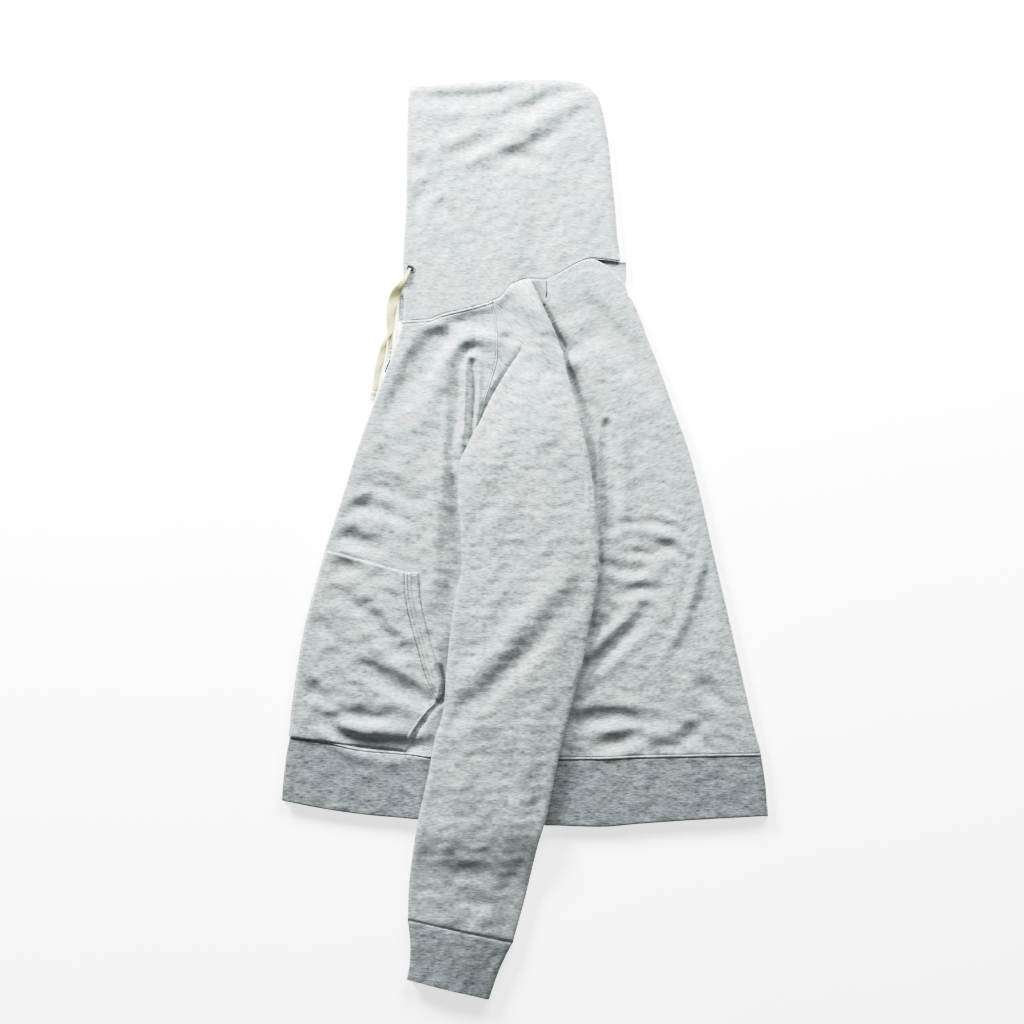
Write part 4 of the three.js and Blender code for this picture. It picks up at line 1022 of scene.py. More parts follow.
@dataclass(frozen=True)
class HeatherKnit:
    """Marled knit: pale cotton with short darker and lighter streaks along its courses."""

    name: str
    dark: Place
    middle: Place
    light: Place
    streak: Point = (6.2, 1.55)
    rib_pitch: float = 0.0
    loop: Point = (1.25, 1.0)
    sheen: float = 0.25

    def make(self) -> Material:
        """The finish as a material."""
        nodes = Nodes(self.name)
        width, length = self.streak
        fine = nodes.noise(nodes.cut_map(width, length), 4, 0.62)
        broad = nodes.noise(nodes.cut_map(width * 2.8, length * 3.2), 3, 0.6)
        cloudy = nodes.noise(nodes.place_map(46), 2, 0.5)
        streaks = nodes.add(fine, 0.67, broad, 0.33)
        colour = nodes.ramp(
            streaks,
            (
                (0.36, self.dark),
                (0.44, tuple(mix(d, m, 0.6) for d, m in zip(self.dark, self.middle))),
                (0.51, self.middle),
                (0.64, self.light),
            ),
        )
        tone = nodes.ramp(cloudy, ((0.3, (0.93, 0.94, 0.95)), (0.7, (1.0, 1.0, 0.985))))
        colour = nodes.blend(1.0, colour, tone, "MULTIPLY")
        loop_rows = nodes.wave(nodes.cut_map(*self.loop), "Y", 0.8)
        loops = nodes.maths("MULTIPLY", nodes.wave(nodes.cut_map(*self.loop), "X", 0.6), loop_rows)
        height = nodes.maths("ADD", loops, nodes.maths("MULTIPLY", streaks, 1.6))
        if self.rib_pitch:
            # Painted shade: the rib's grooves are darkened in its colour, one dark band to each rib.
            ribs = nodes.wave(nodes.cut_map(self.rib_pitch, 1.0), "X")
            groove_shade = nodes.ramp(ribs, ((0.0, (0.965, 0.965, 0.968)), (0.6, (1.0, 1.0, 1.0))))
            colour = nodes.blend(1.0, colour, groove_shade, "MULTIPLY")
        nodes.join(colour, nodes.shader.inputs["Base Color"])
        nodes.rough(fine, 0.82, 0.98)
        nodes.shader.inputs["Specular IOR Level"].default_value = 0.18
        nodes.shader.inputs["Sheen Weight"].default_value = self.sheen
        nodes.shader.inputs["Sheen Roughness"].default_value = 0.55
        nodes.shader.inputs["Sheen Tint"].default_value = (0.95, 0.97, 1.0, 1.0)
        nodes.bump(height, 0.4, 0.14)
        return nodes.material


@dataclass(frozen=True)
class WovenCord:
    """Flat cotton braid or twisted thread, in one colour family."""

    name: str
    shade: Place
    light: Place
    pitch: Point = (1.6, 1.1)
    sheen: float = 0.2

    def make(self) -> Material:
        """The finish as a material."""
        nodes = Nodes(self.name)
        vector = nodes.cut_map(*self.pitch)
        bands = nodes.wave(vector, "DIAGONAL", 0.4)
        across = nodes.wave(vector, "X", 0.3)
        uneven = nodes.noise(nodes.cut_map(3.2, 5.5), 3, 0.6)
        value = nodes.add(bands, 0.3, uneven, 0.8)
        colour = nodes.ramp(value, ((0.3, self.shade), (0.75, self.light)))
        nodes.join(colour, nodes.shader.inputs["Base Color"])
        nodes.rough(uneven, 0.74, 0.92)
        nodes.shader.inputs["Specular IOR Level"].default_value = 0.25
        nodes.shader.inputs["Sheen Weight"].default_value = self.sheen
        nodes.bump(nodes.maths("MULTIPLY", bands, across), 0.6, 0.25)
        return nodes.material


@dataclass(frozen=True)
class BlackenedMetal:
    """Dark plated metal with slightly brighter rubbed places."""

    name: str
    dark: Place
    rubbed: Place

    def make(self) -> Material:
        """The finish as a material."""
        nodes = Nodes(self.name)
        wear = nodes.noise(nodes.place_map(1.8), 5, 0.65)
        grain = nodes.noise(nodes.place_map(0.35), 2, 0.5)
        colour = nodes.ramp(wear, ((0.45, self.dark), (0.72, self.rubbed)))
        nodes.join(colour, nodes.shader.inputs["Base Color"])
        nodes.rough(wear, 0.32, 0.5)
        nodes.shader.inputs["Metallic"].default_value = 1.0
        nodes.bump(grain, 0.25, 0.05)
        return nodes.material


@dataclass(frozen=True)
class StudioPaper:
    """The pale paper that the garment lies on."""

    name: str = "studio_paper"
    shade: Place = (0.93, 0.93, 0.935)
    light: Place = (0.955, 0.955, 0.957)

    def make(self) -> Material:
        """The finish as a material."""
        nodes = Nodes(self.name)
        colour = nodes.ramp(nodes.noise(nodes.place_map(400), 2), ((0.3, self.shade), (0.7, self.light)))
        nodes.join(colour, nodes.shader.inputs["Base Color"])
        nodes.shader.inputs["Roughness"].default_value = 0.9
        nodes.shader.inputs["Specular IOR Level"].default_value = 0.1
        nodes.join(colour, nodes.shader.inputs["Emission Color"])
        nodes.shader.inputs["Emission Strength"].default_value = 0.72
        return nodes.material


class Finishes:
    """Every finish of the garment, made once."""

    def __init__(self) -> None:
        """Makes the materials."""
        self.fleece = HeatherKnit(
            "heather_fleece", (0.25, 0.28, 0.29), (0.48, 0.515, 0.515), (0.67, 0.7, 0.69)
        ).make()
        # The rib knit's colour carries painted shade in its grooves.
        self.rib = HeatherKnit(
            "rib_knit",
            (0.14, 0.16, 0.17),
            (0.35, 0.38, 0.39),
            (0.53, 0.56, 0.565),
            rib_pitch=RIB_PITCH,
            sheen=0.15,
        ).make()
        self.cotton = WovenCord("drawcord_cotton", (0.48, 0.45, 0.26), (0.74, 0.71, 0.53)).make()
        self.binding = WovenCord("cord_binding", (0.55, 0.53, 0.42), (0.8, 0.785, 0.7), (0.9, 0.7)).make()
        self.thread = WovenCord(
            "sewing_thread", (0.34, 0.37, 0.38), (0.52, 0.55, 0.55), (0.5, 0.5), 0.1
        ).make()
        self.tape = WovenCord("zip_tape", (0.42, 0.45, 0.47), (0.58, 0.61, 0.62), (1.2, 0.8), 0.1).make()
        # Painted shade: near-black colour for the disc that stands for the shadowed inside of the eyelet's
        # hole.
        self.hole_shade = WovenCord(
            "eyelet_painted_shade", (0.02, 0.022, 0.024), (0.05, 0.052, 0.055), (1.0, 1.0), 0.0
        ).make()
        self.metal = BlackenedMetal("zip_metal", (0.012, 0.012, 0.014), (0.05, 0.05, 0.054)).make()
        self.teeth = BlackenedMetal("zip_teeth", (0.3, 0.31, 0.32), (0.5, 0.5, 0.51)).make()


# Meshes


def blank() -> Maker:
    """A mesh in the making, with the UV map cut."""
    maker = bmesh.new()
    maker.loops.layers.uv.new("cut")
    return maker


def softened(maker: Maker, radius: float, segments: int) -> None:
    """Rounds every edge of a small metal part.

    Args:
        maker: the part's mesh.
        radius: how far the rounding reaches.
        segments: number of steps round it.
    """
    bmesh.ops.bevel(
        maker,
        geom=maker.edges[:],
        offset=radius,
        segments=segments,
        profile=0.5,
        affect="EDGES",
        material=-1,
    )


def finished(
    mesh_maker: Maker,
    name: str,
    material: Material,
    replaces: Sequence[str],
    body: str = GARMENT,
) -> Piece:
    """Turns a mesh in the making into a dressed piece of the garment.

    Args:
        mesh_maker: the mesh, in metres, in the part's frame. It is freed.
        name: the piece's name.
        material: its finish.
        replaces: the CAD nodes that the piece stands for.
        body: the CAD body that it moves with.

    Returns:
        The piece.
    """
    mesh = bpy.data.meshes.new(name)
    mesh_maker.to_mesh(mesh)
    mesh_maker.free()
    mesh.materials.append(material)
    mesh.shade_smooth()
    piece = bpy.data.objects.new(name, mesh)
    bpy.context.scene.collection.objects.link(piece)
    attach(piece, body)
    if replaces:
        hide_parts(*replaces)
    LOG.info("%s: %d faces", name, len(mesh.polygons))
    return piece


def weave(cloths: Sequence[Cloth]) -> Maker:
    """One mesh from sheets of cloth that share their edges.

    Args:
        cloths: the sheets.

    Returns:
        The mesh, in metres, with the UV map cut.
    """
    maker = bmesh.new()
    uv = maker.loops.layers.uv.new("cut")
    for cloth in cloths:
        rows, columns = cloth.points.shape[:2]
        made = bmesh.ops.create_grid(maker, x_segments=columns - 1, y_segments=rows - 1, size=0.5)["verts"]
        low = min(v.co.x for v in made)
        span = max(v.co.x for v in made) - low
        place = {}
        for v in made:
            c = round((v.co.x - low) / span * (columns - 1))
            r = round((v.co.y - low) / span * (rows - 1))
            v.co = Vector(cloth.points[r, c]) * MM
            place[v] = Vector(cloth.cut[r, c]) * MM
        for face in {f for v in made for f in v.link_faces}:
            for loop in face.loops:
                loop[uv].uv = place[loop.vert]
    bmesh.ops.remove_doubles(maker, verts=maker.verts, dist=2e-6)
    return maker


def thicken(piece: Piece, wall: float) -> None:
    """Gives a sheet its wall, inwards from its right side.

    Args:
        piece: the sheet.
        wall: the wall in millimetres.
    """
    solid = piece.modifiers.new("wall", "SOLIDIFY")
    solid.thickness = wall * MM
    solid.offset = -1
    solid.use_rim = True


def sheet_piece(
    cloths: Sequence[Cloth],
    name: str,
    material: Material,
    node: str,
    wall: float,
) -> Piece:
    """A sheet or a flat tube of cloth as a dressed piece, given its wall.

    Args:
        cloths: the sheet, or the upper and the lower skin of a tube.
        name: the piece's name.
        material: its finish.
        node: the CAD node that the piece stands for.
        wall: the cloth's wall.

    Returns:
        The piece.
    """
    piece = finished(weave(cloths), name, material, (node,))
    thicken(piece, wall)
    width, length = cloths[0].size()
    sum(cloth.area() for cloth in cloths)
    return piece


def seam_dip(distance: Array, depth: Array | float = 1.1, reach: Array | float = 1.8) -> Array:
    """How far the cloth drops where it rolls into a seam."""
    return depth * (1 - round_off(distance, reach))


def sewn(distance: Array, depth: Array | float = 1.1, row: float = 3.4, pull: float = 0.55) -> Array:
    """How far the cloth drops at a seam and under the row of stitches beside it.

    Args:
        distance: how far each point lies from the seam.
        depth: how deep the seam is.
        row: how far the stitches lie from the seam.
        pull: how deep they pull the cloth in.

    Returns:
        The drop at each point, less than nothing where the seam's allowance lifts the cloth.
    """
    ditch = pull * np.exp(-(((distance - row) / 0.5) ** 2))
    allowance = 0.3 * np.exp(-(((distance - row / 2) / 0.9) ** 2))
    return seam_dip(distance, depth) + ditch - allowance


@dataclass(frozen=True)
class Stitching:
    """A row of short stitches along a line on the cloth."""

    name: str
    line: tuple[Place, ...]
    stitch: float = 2.6
    gap: float = 0.7
    thread: float = 0.5

    def build(self, finishes: Finishes) -> Piece:
        """Sews the row as one piece.

        Args:
            finishes: the garment's finishes.

        Returns:
            The piece.
        """
        path = np.asarray(self.line, float)
        steps = np.linalg.norm(np.diff(path, axis=0), axis=1)
        along = np.concatenate([[0], np.cumsum(steps)])
        starts = np.arange(self.gap, along[-1] - self.stitch, self.stitch + self.gap)
        maker = blank()
        for start in starts:
            cut = (start, start + self.stitch)
            ends = [Vector([np.interp(s, along, path[:, k]) for k in range(3)]) for s in cut]
            run = ends[1] - ends[0]
            turn = run.to_track_quat("X", "Z").to_matrix().to_4x4()
            size = Matrix.Diagonal((run.length / 2 * MM, self.thread / 2 * MM, self.thread / 2 * MM, 1))
            matrix = Matrix.Translation((ends[0] + ends[1]) / 2 * MM) @ turn @ size
            bmesh.ops.create_uvsphere(maker, u_segments=6, v_segments=4, radius=1, matrix=matrix)
        return finished(maker, self.name, finishes.thread, ())


def sew(
    name: str,
    xs: Array,
    ys: Array,
    height: Callable[[Array, Array], Array],
    finishes: Finishes,
    lift: float = -0.22,
) -> None:
    """Sews a row of stitches along a line that lies on the cloth.

    Args:
        name: the row's name.
        xs: the line's x.
        ys: its y.
        height: the cloth's height.
        finishes: the garment's finishes.
        lift: how far the thread's middle stands over the cloth.
    """
    line = tuple(zip(xs.tolist(), ys.tolist(), (height(xs, ys) + lift).tolist()))
    Stitching(name, line).build(finishes)


@dataclass(frozen=True)
class Body:
    """The front and the back of the body, laid flat, with the turned zip edge."""

    side_x: float = -28.0
    neck_left_y: float = 249.8
    neck_right: Point = (-37.4, 272.6)
    hem_right_x: float = 266.0
    top_left: Point = (25.0, 296.9)
    top_right: Point = (116.6, 292.0)
    raglan_start: Point = (66, 84)
    back_raglan_start: Point = (214, 226)
    nape: Point = (68, 86)
    armhole_y: float = 159.0
    pleat_rows: tuple[float, ...] = (
        *(185, 196, 205, 209, 214.2, 219, 223.7, 229, 234),
        *(239, 244, 249, 253.6, 259, 265, 270.8, 276, 280),
    )
    neck_row: float = 3.0
    raglan_row: float = 2.6
    hem_row: float = 3.4
    length: float = 500.0
    grain_slant: float = 0.34
    grain_turns: Point = (-330, 120)
    grain_x: float = 150.0
    tuck: float = 4.5
    tuck_rise: Point = (206, 214)
    tuck_fall: Point = (277, 270)
    seam: Point = (1.1, 1.8)
    nape_step: Point = (3.4, 6.5)

    def front(self) -> Cloth:
        """The left front, from the hem seam to the neck."""
        low_left = float(FORM.hem_seam(FORM.zip_x(-223.5)))
        low_right = float(FORM.hem_seam(self.side_x))
        t = spread(self.length, SEAM_STEPS, SEAM_STEPS, CELL)[0]
        left_y = mix(low_left, self.neck_left_y, t)
        right_y = mix(low_right, self.neck_right[1], t)
        left = pairs(FORM.zip_x(left_y) + TURN_RADIUS, left_y)
        right = pairs(FORM.front_side(right_y), right_y)
        flat = lay(left, right, PLAIN_STEPS)
        at_hem = off_chord(FORM.hem_seam, (float(FORM.zip_x(low_left)), low_left), (self.side_x, low_right))
        neck_left = (float(FORM.zip_x(self.neck_left_y)), self.neck_left_y)
        at_neck = off_chord(FORM.neck, neck_left, self.neck_right)
        t = t[:, None]
        flat[:, :, 1] += (1 - t) ** 3 * at_hem(flat[:, :, 0]) + t**3 * at_neck(flat[:, :, 0])
        x, y = flat[:, :, 0], flat[:, :, 1]
        sides = from_sides(flat)
        z = FORM.bed(x, y) - sewn(sides[Side.LOW]) - sewn(sides[Side.HIGH])
        z -= smooth(*self.raglan_start, y) * sewn(sides[Side.RIGHT], 0.9, self.raglan_row)
        cloth = Cloth.over(x, y, z)
        return cloth.turned(Side.LEFT, TURN_RADIUS, TURN_BACK)

    def back(self) -> Cloth:
        """The left half of the back, to the fold along its centre and a little way under."""
        low = float(FORM.hem_seam(BACK_SIDE[0][1]))
        low_right = float(FORM.hem_seam(self.hem_right_x))
        below = self.armhole_y - low
        above = self.top_left[1] - self.pleat_rows[-1]
        rows = (
            low + spread(below, SEAM_STEPS, (0.0, CELL), CELL)[0] * below,
            np.arange(161.5, 184, CELL),
            np.arange(187.5, 205, CELL),
            np.asarray(self.pleat_rows, float),
            self.pleat_rows[-1] + spread(above, (0.0, 2.0), SEAM_STEPS, 2.4)[0][1:] * above,
        )
        left_y = np.unique(np.concatenate(rows))
        share = (left_y - low) / (left_y[-1] - low)
        right_y = mix(low_right, self.top_right[1], share)
        tucked = self.tuck * smooth(*self.tuck_rise, left_y) * smooth(*self.tuck_fall, left_y)
        left = pairs(FORM.back_side(left_y) - tucked, left_y)
        right = pairs(FORM.fold_x(right_y) - FOLD_RADIUS, right_y)
        flat = lay(left, right, SEAM_STEPS, PLAIN_STEPS)
        at_hem = off_chord(FORM.hem_seam, (BACK_SIDE[0][1], low), (self.hem_right_x, low_right))
        at_top = off_chord(FORM.back_top, self.top_left, self.top_right)
        s = share[:, None]
        flat[:, :, 1] += (1 - s) ** 3 * at_hem(flat[:, :, 0]) + s**7 * at_top(flat[:, :, 0])
        x, y = flat[:, :, 0], flat[:, :, 1]
        sides = from_sides(flat)
        nape = smooth(*self.nape, x)
        z = FORM.bed(x, y) - sewn(sides[Side.LOW])
        depth, reach = (mix(*ends, nape) for ends in zip(self.seam, self.nape_step))
        z -= seam_dip(sides[Side.HIGH], depth, reach)
        z -= smooth(*self.back_raglan_start, y) * seam_dip(sides[Side.LEFT], 0.9, 1.6)
        slant = self.grain_slant * smooth(*self.grain_turns, y)
        cloth = Cloth.over(x, y, z, pairs(x, y - slant * (x - self.grain_x)))
        edge_z = cloth.points[:, -1, 2]
        return cloth.turned(Side.RIGHT, edge_z / 2 - 0.05, FOLD_RETURN, 12)

    def build(self, finishes: Finishes) -> None:
        """Makes both pieces and their stitching.

        Args:
            finishes: the garment's finishes.
        """
        for name, cloth in (("front_left", self.front()), ("back", self.back())):
            sheet_piece([cloth], f"{name}_cloth", finishes.fleece, name, FLEECE_WALL)
        neck_x = np.linspace(-134, -39, 60)
        nape_x = np.linspace(27, 96, 50)
        front_x = np.linspace(-268, -112, 80)
        back_x = np.linspace(50, 262, 110)
        front_y = np.linspace(84, 269, 90)
        back_y = np.linspace(226, 292, 34)
        rows = (
            ("neck_stitching_front", neck_x, FORM.neck(neck_x) - self.neck_row),
            ("neck_stitching_back", nape_x, FORM.back_top(nape_x) - self.neck_row),
            ("hem_stitching_front", front_x, FORM.hem_seam(front_x) + self.hem_row),
            ("hem_stitching_back", back_x, FORM.hem_seam(back_x) + self.hem_row),
            ("raglan_stitching_front", FORM.front_side(front_y) - self.raglan_row, front_y),
            ("raglan_stitching_back", FORM.back_side(back_y) + self.raglan_row, back_y),
        )
        for name, xs, ys in rows:
            sew(name, xs, ys, FORM.bed, finishes)


@dataclass(frozen=True)
class Hem:
    """The ribbed band along the hem, folded along its lower edge."""

    turn: float = 1.9
    turn_back: float = 8.0
    left_x: Point = (-279.9, -270.9)
    lowest: float = 0.15

    def band(self) -> Cloth:
        """The band, with its lower edge turned under and its right end folded under."""
        t = spread(70.0, (0.0, 1.5, 4.0), SEAM_STEPS, 4.5)[0]
        start_x = mix(self.left_x[0], self.left_x[1], t) + self.turn

        def level(x: Array, share: Array) -> Array:
            """Height along the garment of a row of the band."""
            return mix(FORM.hem_low(x) + self.turn, FORM.hem_seam(x), share)

        end_x = FORM.fold_x(level(np.full_like(t, 275.0), t)) - FOLD_RADIUS
        columns = math.ceil((float(end_x.max()) - float(start_x.min())) / (RIB_PITCH / 4))
        share = np.linspace(0, 1, columns + 1)[None, :]
        x = mix(start_x[:, None], end_x[:, None], share)
        y = level(x, t[:, None])
        flat = pairs(x, y)
        sides = from_sides(flat)
        edges = smooth(*BESIDE_SEAM, sides[Side.HIGH])
        z = FORM.bed(x, y) - RIB_DROP - seam_dip(sides[Side.HIGH])
        points = np.stack([x, y, z], axis=2)
        cut = np.stack([share * np.ones_like(x) * (end_x.mean() - start_x.mean()), y], axis=2)
        cut[:, :, 0] += start_x.mean()
        points[:, :, 2] += edges * RIB_DEPTH * np.cos(2 * math.pi * cut[:, :, 0] / RIB_PITCH)
        cloth = Cloth(points, cut)
        edge_z = cloth.points[:, -1, 2]
        cloth = cloth.turned(Side.RIGHT, edge_z / 2 - 0.05, FOLD_RETURN, 12)
        cloth = cloth.turned(Side.LOW, self.turn, self.turn_back, 7)
        cloth.points[:, :, 2] = np.maximum(cloth.points[:, :, 2], self.lowest)
        return cloth

    def build(self, finishes: Finishes) -> None:
        """Makes the band.

        Args:
            finishes: the garment's finishes.
        """
        sheet_piece([self.band()], "hem_band", finishes.rib, "hem_rib", HEM_WALL)


@dataclass(frozen=True)
class Sleeve:
    """The left sleeve: its cap between the raglan seams, then a flat tube down the body."""

    free_over: float = 2.2
    cap_edge_loft: float = 3.2
    cap_loft: float = 3.4
    cap_reach: float = 6
    tube_reach: float = 10
    fold_foot: float = 0.6
    fold_rise: float = 3.0
    fold_reach: float = 5
    fold_fades: Point = (12, 46)
    lining_gap: float = 0.4
    seam: Point = (0.9, 1.6)
    cuff_seam: Point = (1.0, 1.8)
    underside_cut: float = 500.0
    grain_slant: float = 0.62
    grain_turns: Point = (60, 250)
    pleat_y: Place = (98.0, 272.0, 2.3)
    pleat_fades: Point = (216, 226)
    tucked: float = 4.0

    def lift(self, at: Array) -> Array:
        """How far the tube has come free of the body at a row of the table."""
        return smooth(SLEEVE_CAP_END, SLEEVE_CAP_END + self.free_over, at)

    def heights(self, x: Array, y: Array, edge: Array, at: Array) -> tuple[Array, Array]:
        """Heights of the upper and the lower skin.

        Args:
            x: places across.
            y: places along.
            edge: distance in from the folded edge.
            at: row of the table.

        Returns:
            Upper and lower heights.
        """
        full = smooth(SLEEVE_CAP_END + 0.5, SLEEVE_FULL, at)
        edge_loft = mix(self.cap_edge_loft, SLEEVE_EDGE_LOFT, full)
        crown_loft = mix(self.cap_loft, SLEEVE_LOFT, full)
        rest = FORM.sleeve_rest(x, y)
        crown = mix(edge_loft, crown_loft, smooth(*TUBE_CROWN, edge))
        reach = mix(self.cap_reach, self.tube_reach, full)
        uneven = smooth(*CALM_BY_NECK, FORM.neck(x) - y) * FORM.sleeve_uneven(x, y)
        top = rest + mix(edge_loft / 2, crown, round_off(edge, reach)) + smooth(*CALM_BY_SEAM, edge) * uneven
        under = rest + edge_loft / 2 * (1 - round_off(edge, reach * 0.5))
        on_body = FORM.body(x, y) + uneven
        from_fold = FORM.right_fold(y) - x
        folded = self.fold_foot + self.fold_rise * round_off(np.clip(from_fold, 0, None), self.fold_reach)
        folded = folded - (self.fold_foot + self.fold_rise) * smooth(*self.fold_fades, from_fold)
        on_body = on_body + smooth(0.3, 1.6, at) * folded
        lift = self.lift(at)
        return mix(on_body, top, lift), mix(on_body - self.lining_gap, under, lift)

    def skins(self) -> tuple[Cloth, Cloth]:
        """The upper skin from neck to cuff, and the lower skin of the tube."""
        table, at = between_rows(SLEEVE, CELL)
        left, right = table[:, :2], table[:, 2:]
        flat = lay(left, right, ROLL_STEPS, ROLL_STEPS)
        at_neck = off_chord(FORM.neck, SLEEVE[0][:2], SLEEVE[0][2:])
        flat[:, :, 1] += np.clip(1 - at[:, None] / 2.2, 0, 1) ** 2 * at_neck(flat[:, :, 0])
        width = np.linalg.norm(right - left, axis=1)
        across = from_sides(flat)[Side.LEFT]
        edge = np.minimum(across, width[:, None] - across)
        x, y = flat[:, :, 0], flat[:, :, 1]
        top, under = self.heights(x, y, edge, at[:, None])
        along = from_sides(flat)
        at_cuff = seam_dip(along[Side.HIGH], *self.cuff_seam)
        top = top - seam_dip(along[Side.LOW], 1.0, 1.6) - at_cuff
        under = under + at_cuff
        capped = (1 - self.lift(at[:, None])) * smooth(0, 1, 4.3 - at[:, None])
        top = top - capped * seam_dip(width[:, None] - across, *self.seam) * smooth(210, 220, y)
        cut = self.grain(x, y)
        upper = Cloth.over(x, y, top, cut)
        free = int(np.argmax(at > SLEEVE_CAP_END + 0.9))
        lower = Cloth.over(x[free:], y[free:], under[free:], cut[free:] + np.array([self.underside_cut, 0.0]))
        return upper.upside(), lower.upside().flipped()

    def grain(self, x: Array, y: Array) -> Array:
        """Place on the cut: the courses run straight across, and aslant near the cap."""
        slant = self.grain_slant * smooth(*self.grain_turns, y)
        return pairs(x, y + slant * x)

    def front_pleat(self) -> Cloth:
        """The cloth in front of the fold, from the raglan seam to under the tube."""
        y = np.arange(*self.pleat_y)
        left = pairs(FORM.front_side(y), y)
        right = pairs(Line.through(FRONT_PLEAT, 0, 1)(y), y)
        flat = lay(left, right, SEAM_STEPS, PLAIN_STEPS)
        x, rows = flat[:, :, 0], flat[:, :, 1]
        under_edge = smooth(-4, 10, x - FORM.sleeve_left(rows)) * smooth(224, 214, rows)
        z = FORM.bed(x, rows) + FORM.sleeve_uneven(x, rows) * smooth(*self.pleat_fades, rows)
        z = z - 0.9 * under_edge - seam_dip(from_sides(flat)[Side.LEFT], *self.seam)
        return Cloth.over(x, rows, z, self.grain(x, rows))

    def back_pleat(self) -> Cloth:
        """The narrow corner of the cap between its own edge and the back seam."""
        table, _ = between_rows(BACK_PLEAT, 2.5)
        table = table[::-1]
        left = table[:, :2] - np.array([self.tucked, 0.0])
        flat = lay(left, table[:, 2:], (0.0, 0.8), (0.0, 0.5, 1.2), 2.0)
        x, y = flat[:, :, 0], flat[:, :, 1]
        uneven = smooth(*CALM_BY_NECK, FORM.neck(x) - y) * FORM.sleeve_uneven(x, y)
        z = FORM.bed(x, y) + 0.4 * uneven - seam_dip(from_sides(flat)[Side.RIGHT], *self.seam)
        return Cloth.over(x, y, z, self.grain(x, y))

    def build(self, finishes: Finishes) -> None:
        """Makes the sleeve and its two pleats.

        Args:
            finishes: the garment's finishes.
        """
        pieces = (
            (self.skins(), "sleeve_left_cloth", "sleeve_left"),
            ([self.front_pleat()], "sleeve_front_pleat_cloth", "sleeve_left_front_pleat"),
            ([self.back_pleat()], "sleeve_back_pleat_cloth", "sleeve_left_back_pleat"),
        )
        for cloths, name, node in pieces:
            sheet_piece(cloths, name, finishes.fleece, node, SLEEVE_WALL)


@dataclass(frozen=True)
class Cuff:
    """The ribbed cuff, a flat tube at the end of the sleeve."""

    seam_depth: float = 1.0
    seam_reach: float = 1.8
    end_round: float = 0.9

    def skins(self) -> tuple[Cloth, Cloth]:
        """The upper and the lower skin."""
        table, _ = between_rows(CUFF, 3.0)
        left, right = table[:, :2], table[:, 2:]
        flat = lay(left, right, ROLL_STEPS, ROLL_STEPS, RIB_PITCH / 4)
        width = np.linalg.norm(right - left, axis=1)[:, None]
        sides = from_sides(flat)
        edge = np.minimum(sides[Side.LEFT], width - sides[Side.LEFT])
        x, y = flat[:, :, 0], flat[:, :, 1]
        rest = FORM.sleeve_rest(x, y)
        crown = mix(CUFF_EDGE_LOFT, CUFF_LOFT, smooth(*TUBE_CROWN, edge))
        middle = float(width.mean())
        share = sides[Side.LEFT] / width
        ribs = RIB_DEPTH * np.cos(2 * math.pi * share * middle / RIB_PITCH)
        ribs = ribs * smooth(*BESIDE_SEAM, sides[Side.LOW])
        uneven = smooth(0, 3, edge) * (ribs + ripple(x, y, *CUFF_RIPPLE))
        seam = seam_dip(sides[Side.LOW], self.seam_depth, self.seam_reach)
        top = rest + mix(CUFF_EDGE_LOFT / 2, crown, round_off(edge, 10)) + uneven - seam
        under = rest + CUFF_EDGE_LOFT / 2 * (1 - round_off(edge, 5)) + seam
        cut = pairs(share * middle, y)
        return Cloth.over(x, y, top, cut).upside(), Cloth.over(x, y, under, cut).upside().flipped()

    def build(self, finishes: Finishes) -> None:
        """Makes the cuff.

        Args:
            finishes: the garment's finishes.
        """
        piece = sheet_piece(self.skins(), "cuff_band", finishes.rib, "cuff_left", CUFF_WALL)
        rounding = piece.modifiers.new("round", "BEVEL")
        rounding.width = self.end_round * MM
        rounding.segments = 3
        rounding.limit_method = "ANGLE"
        rounding.angle_limit = math.radians(65)


@dataclass(frozen=True)
class Hood:
    """The left panel of the hood, laid up from the neck, with its turned face edge."""

    neck_left: Point = (-139.6, 250.1)
    neck_right: Point = (112.0, 318.0)
    crown_left: Point = (-133.5, 518.0)
    crown_right: Point = (83.6, 508.0)
    back_seam_y: tuple[float, ...] = (318.0, 345.0, 372.0, 400.0)
    back_seam_x: tuple[float, ...] = (108.4, 106.2, 104.0, 99.4)

    def panel(self) -> Cloth:
        """The hood panel."""
        t = spread(262.0, SEAM_STEPS, ROLL_STEPS, CELL)[0]
        left_y = mix(self.neck_left[1], self.crown_left[1], t)
        right_y = mix(self.neck_right[1], self.crown_right[1], t)
        left = pairs(FORM.face_x(left_y) + TURN_RADIUS, left_y)
        right = pairs(FORM.hood_back_x(right_y), right_y)
        flat = lay(left, right, PLAIN_STEPS, ROLL_STEPS)
        at_neck = off_chord(FORM.neck, self.neck_left, self.neck_right)
        at_crown = off_chord(FORM.crown, self.crown_left, self.crown_right)
        s = t[:, None]
        flat[:, :, 1] += (1 - s) ** 3 * at_neck(flat[:, :, 0]) + s**4 * at_crown(flat[:, :, 0])
        x, y = flat[:, :, 0], flat[:, :, 1]
        back_seam = Line(self.back_seam_y, self.back_seam_x)(y)
        z = FORM.hood(x, y) - seam_dip(from_sides(flat)[Side.LOW])
        z = z - 0.7 * np.exp(-(((x - back_seam) / 0.6) ** 2)) * smooth(404, 392, y)
        return Cloth.over(x, y, z).turned(Side.LEFT, TURN_RADIUS, TURN_BACK)

    def build(self, finishes: Finishes) -> None:
        """Makes the hood.

        Args:
            finishes: the garment's finishes.
        """
        sheet_piece([self.panel()], "hood_left_cloth", finishes.fleece, "hood_left", FLEECE_WALL)


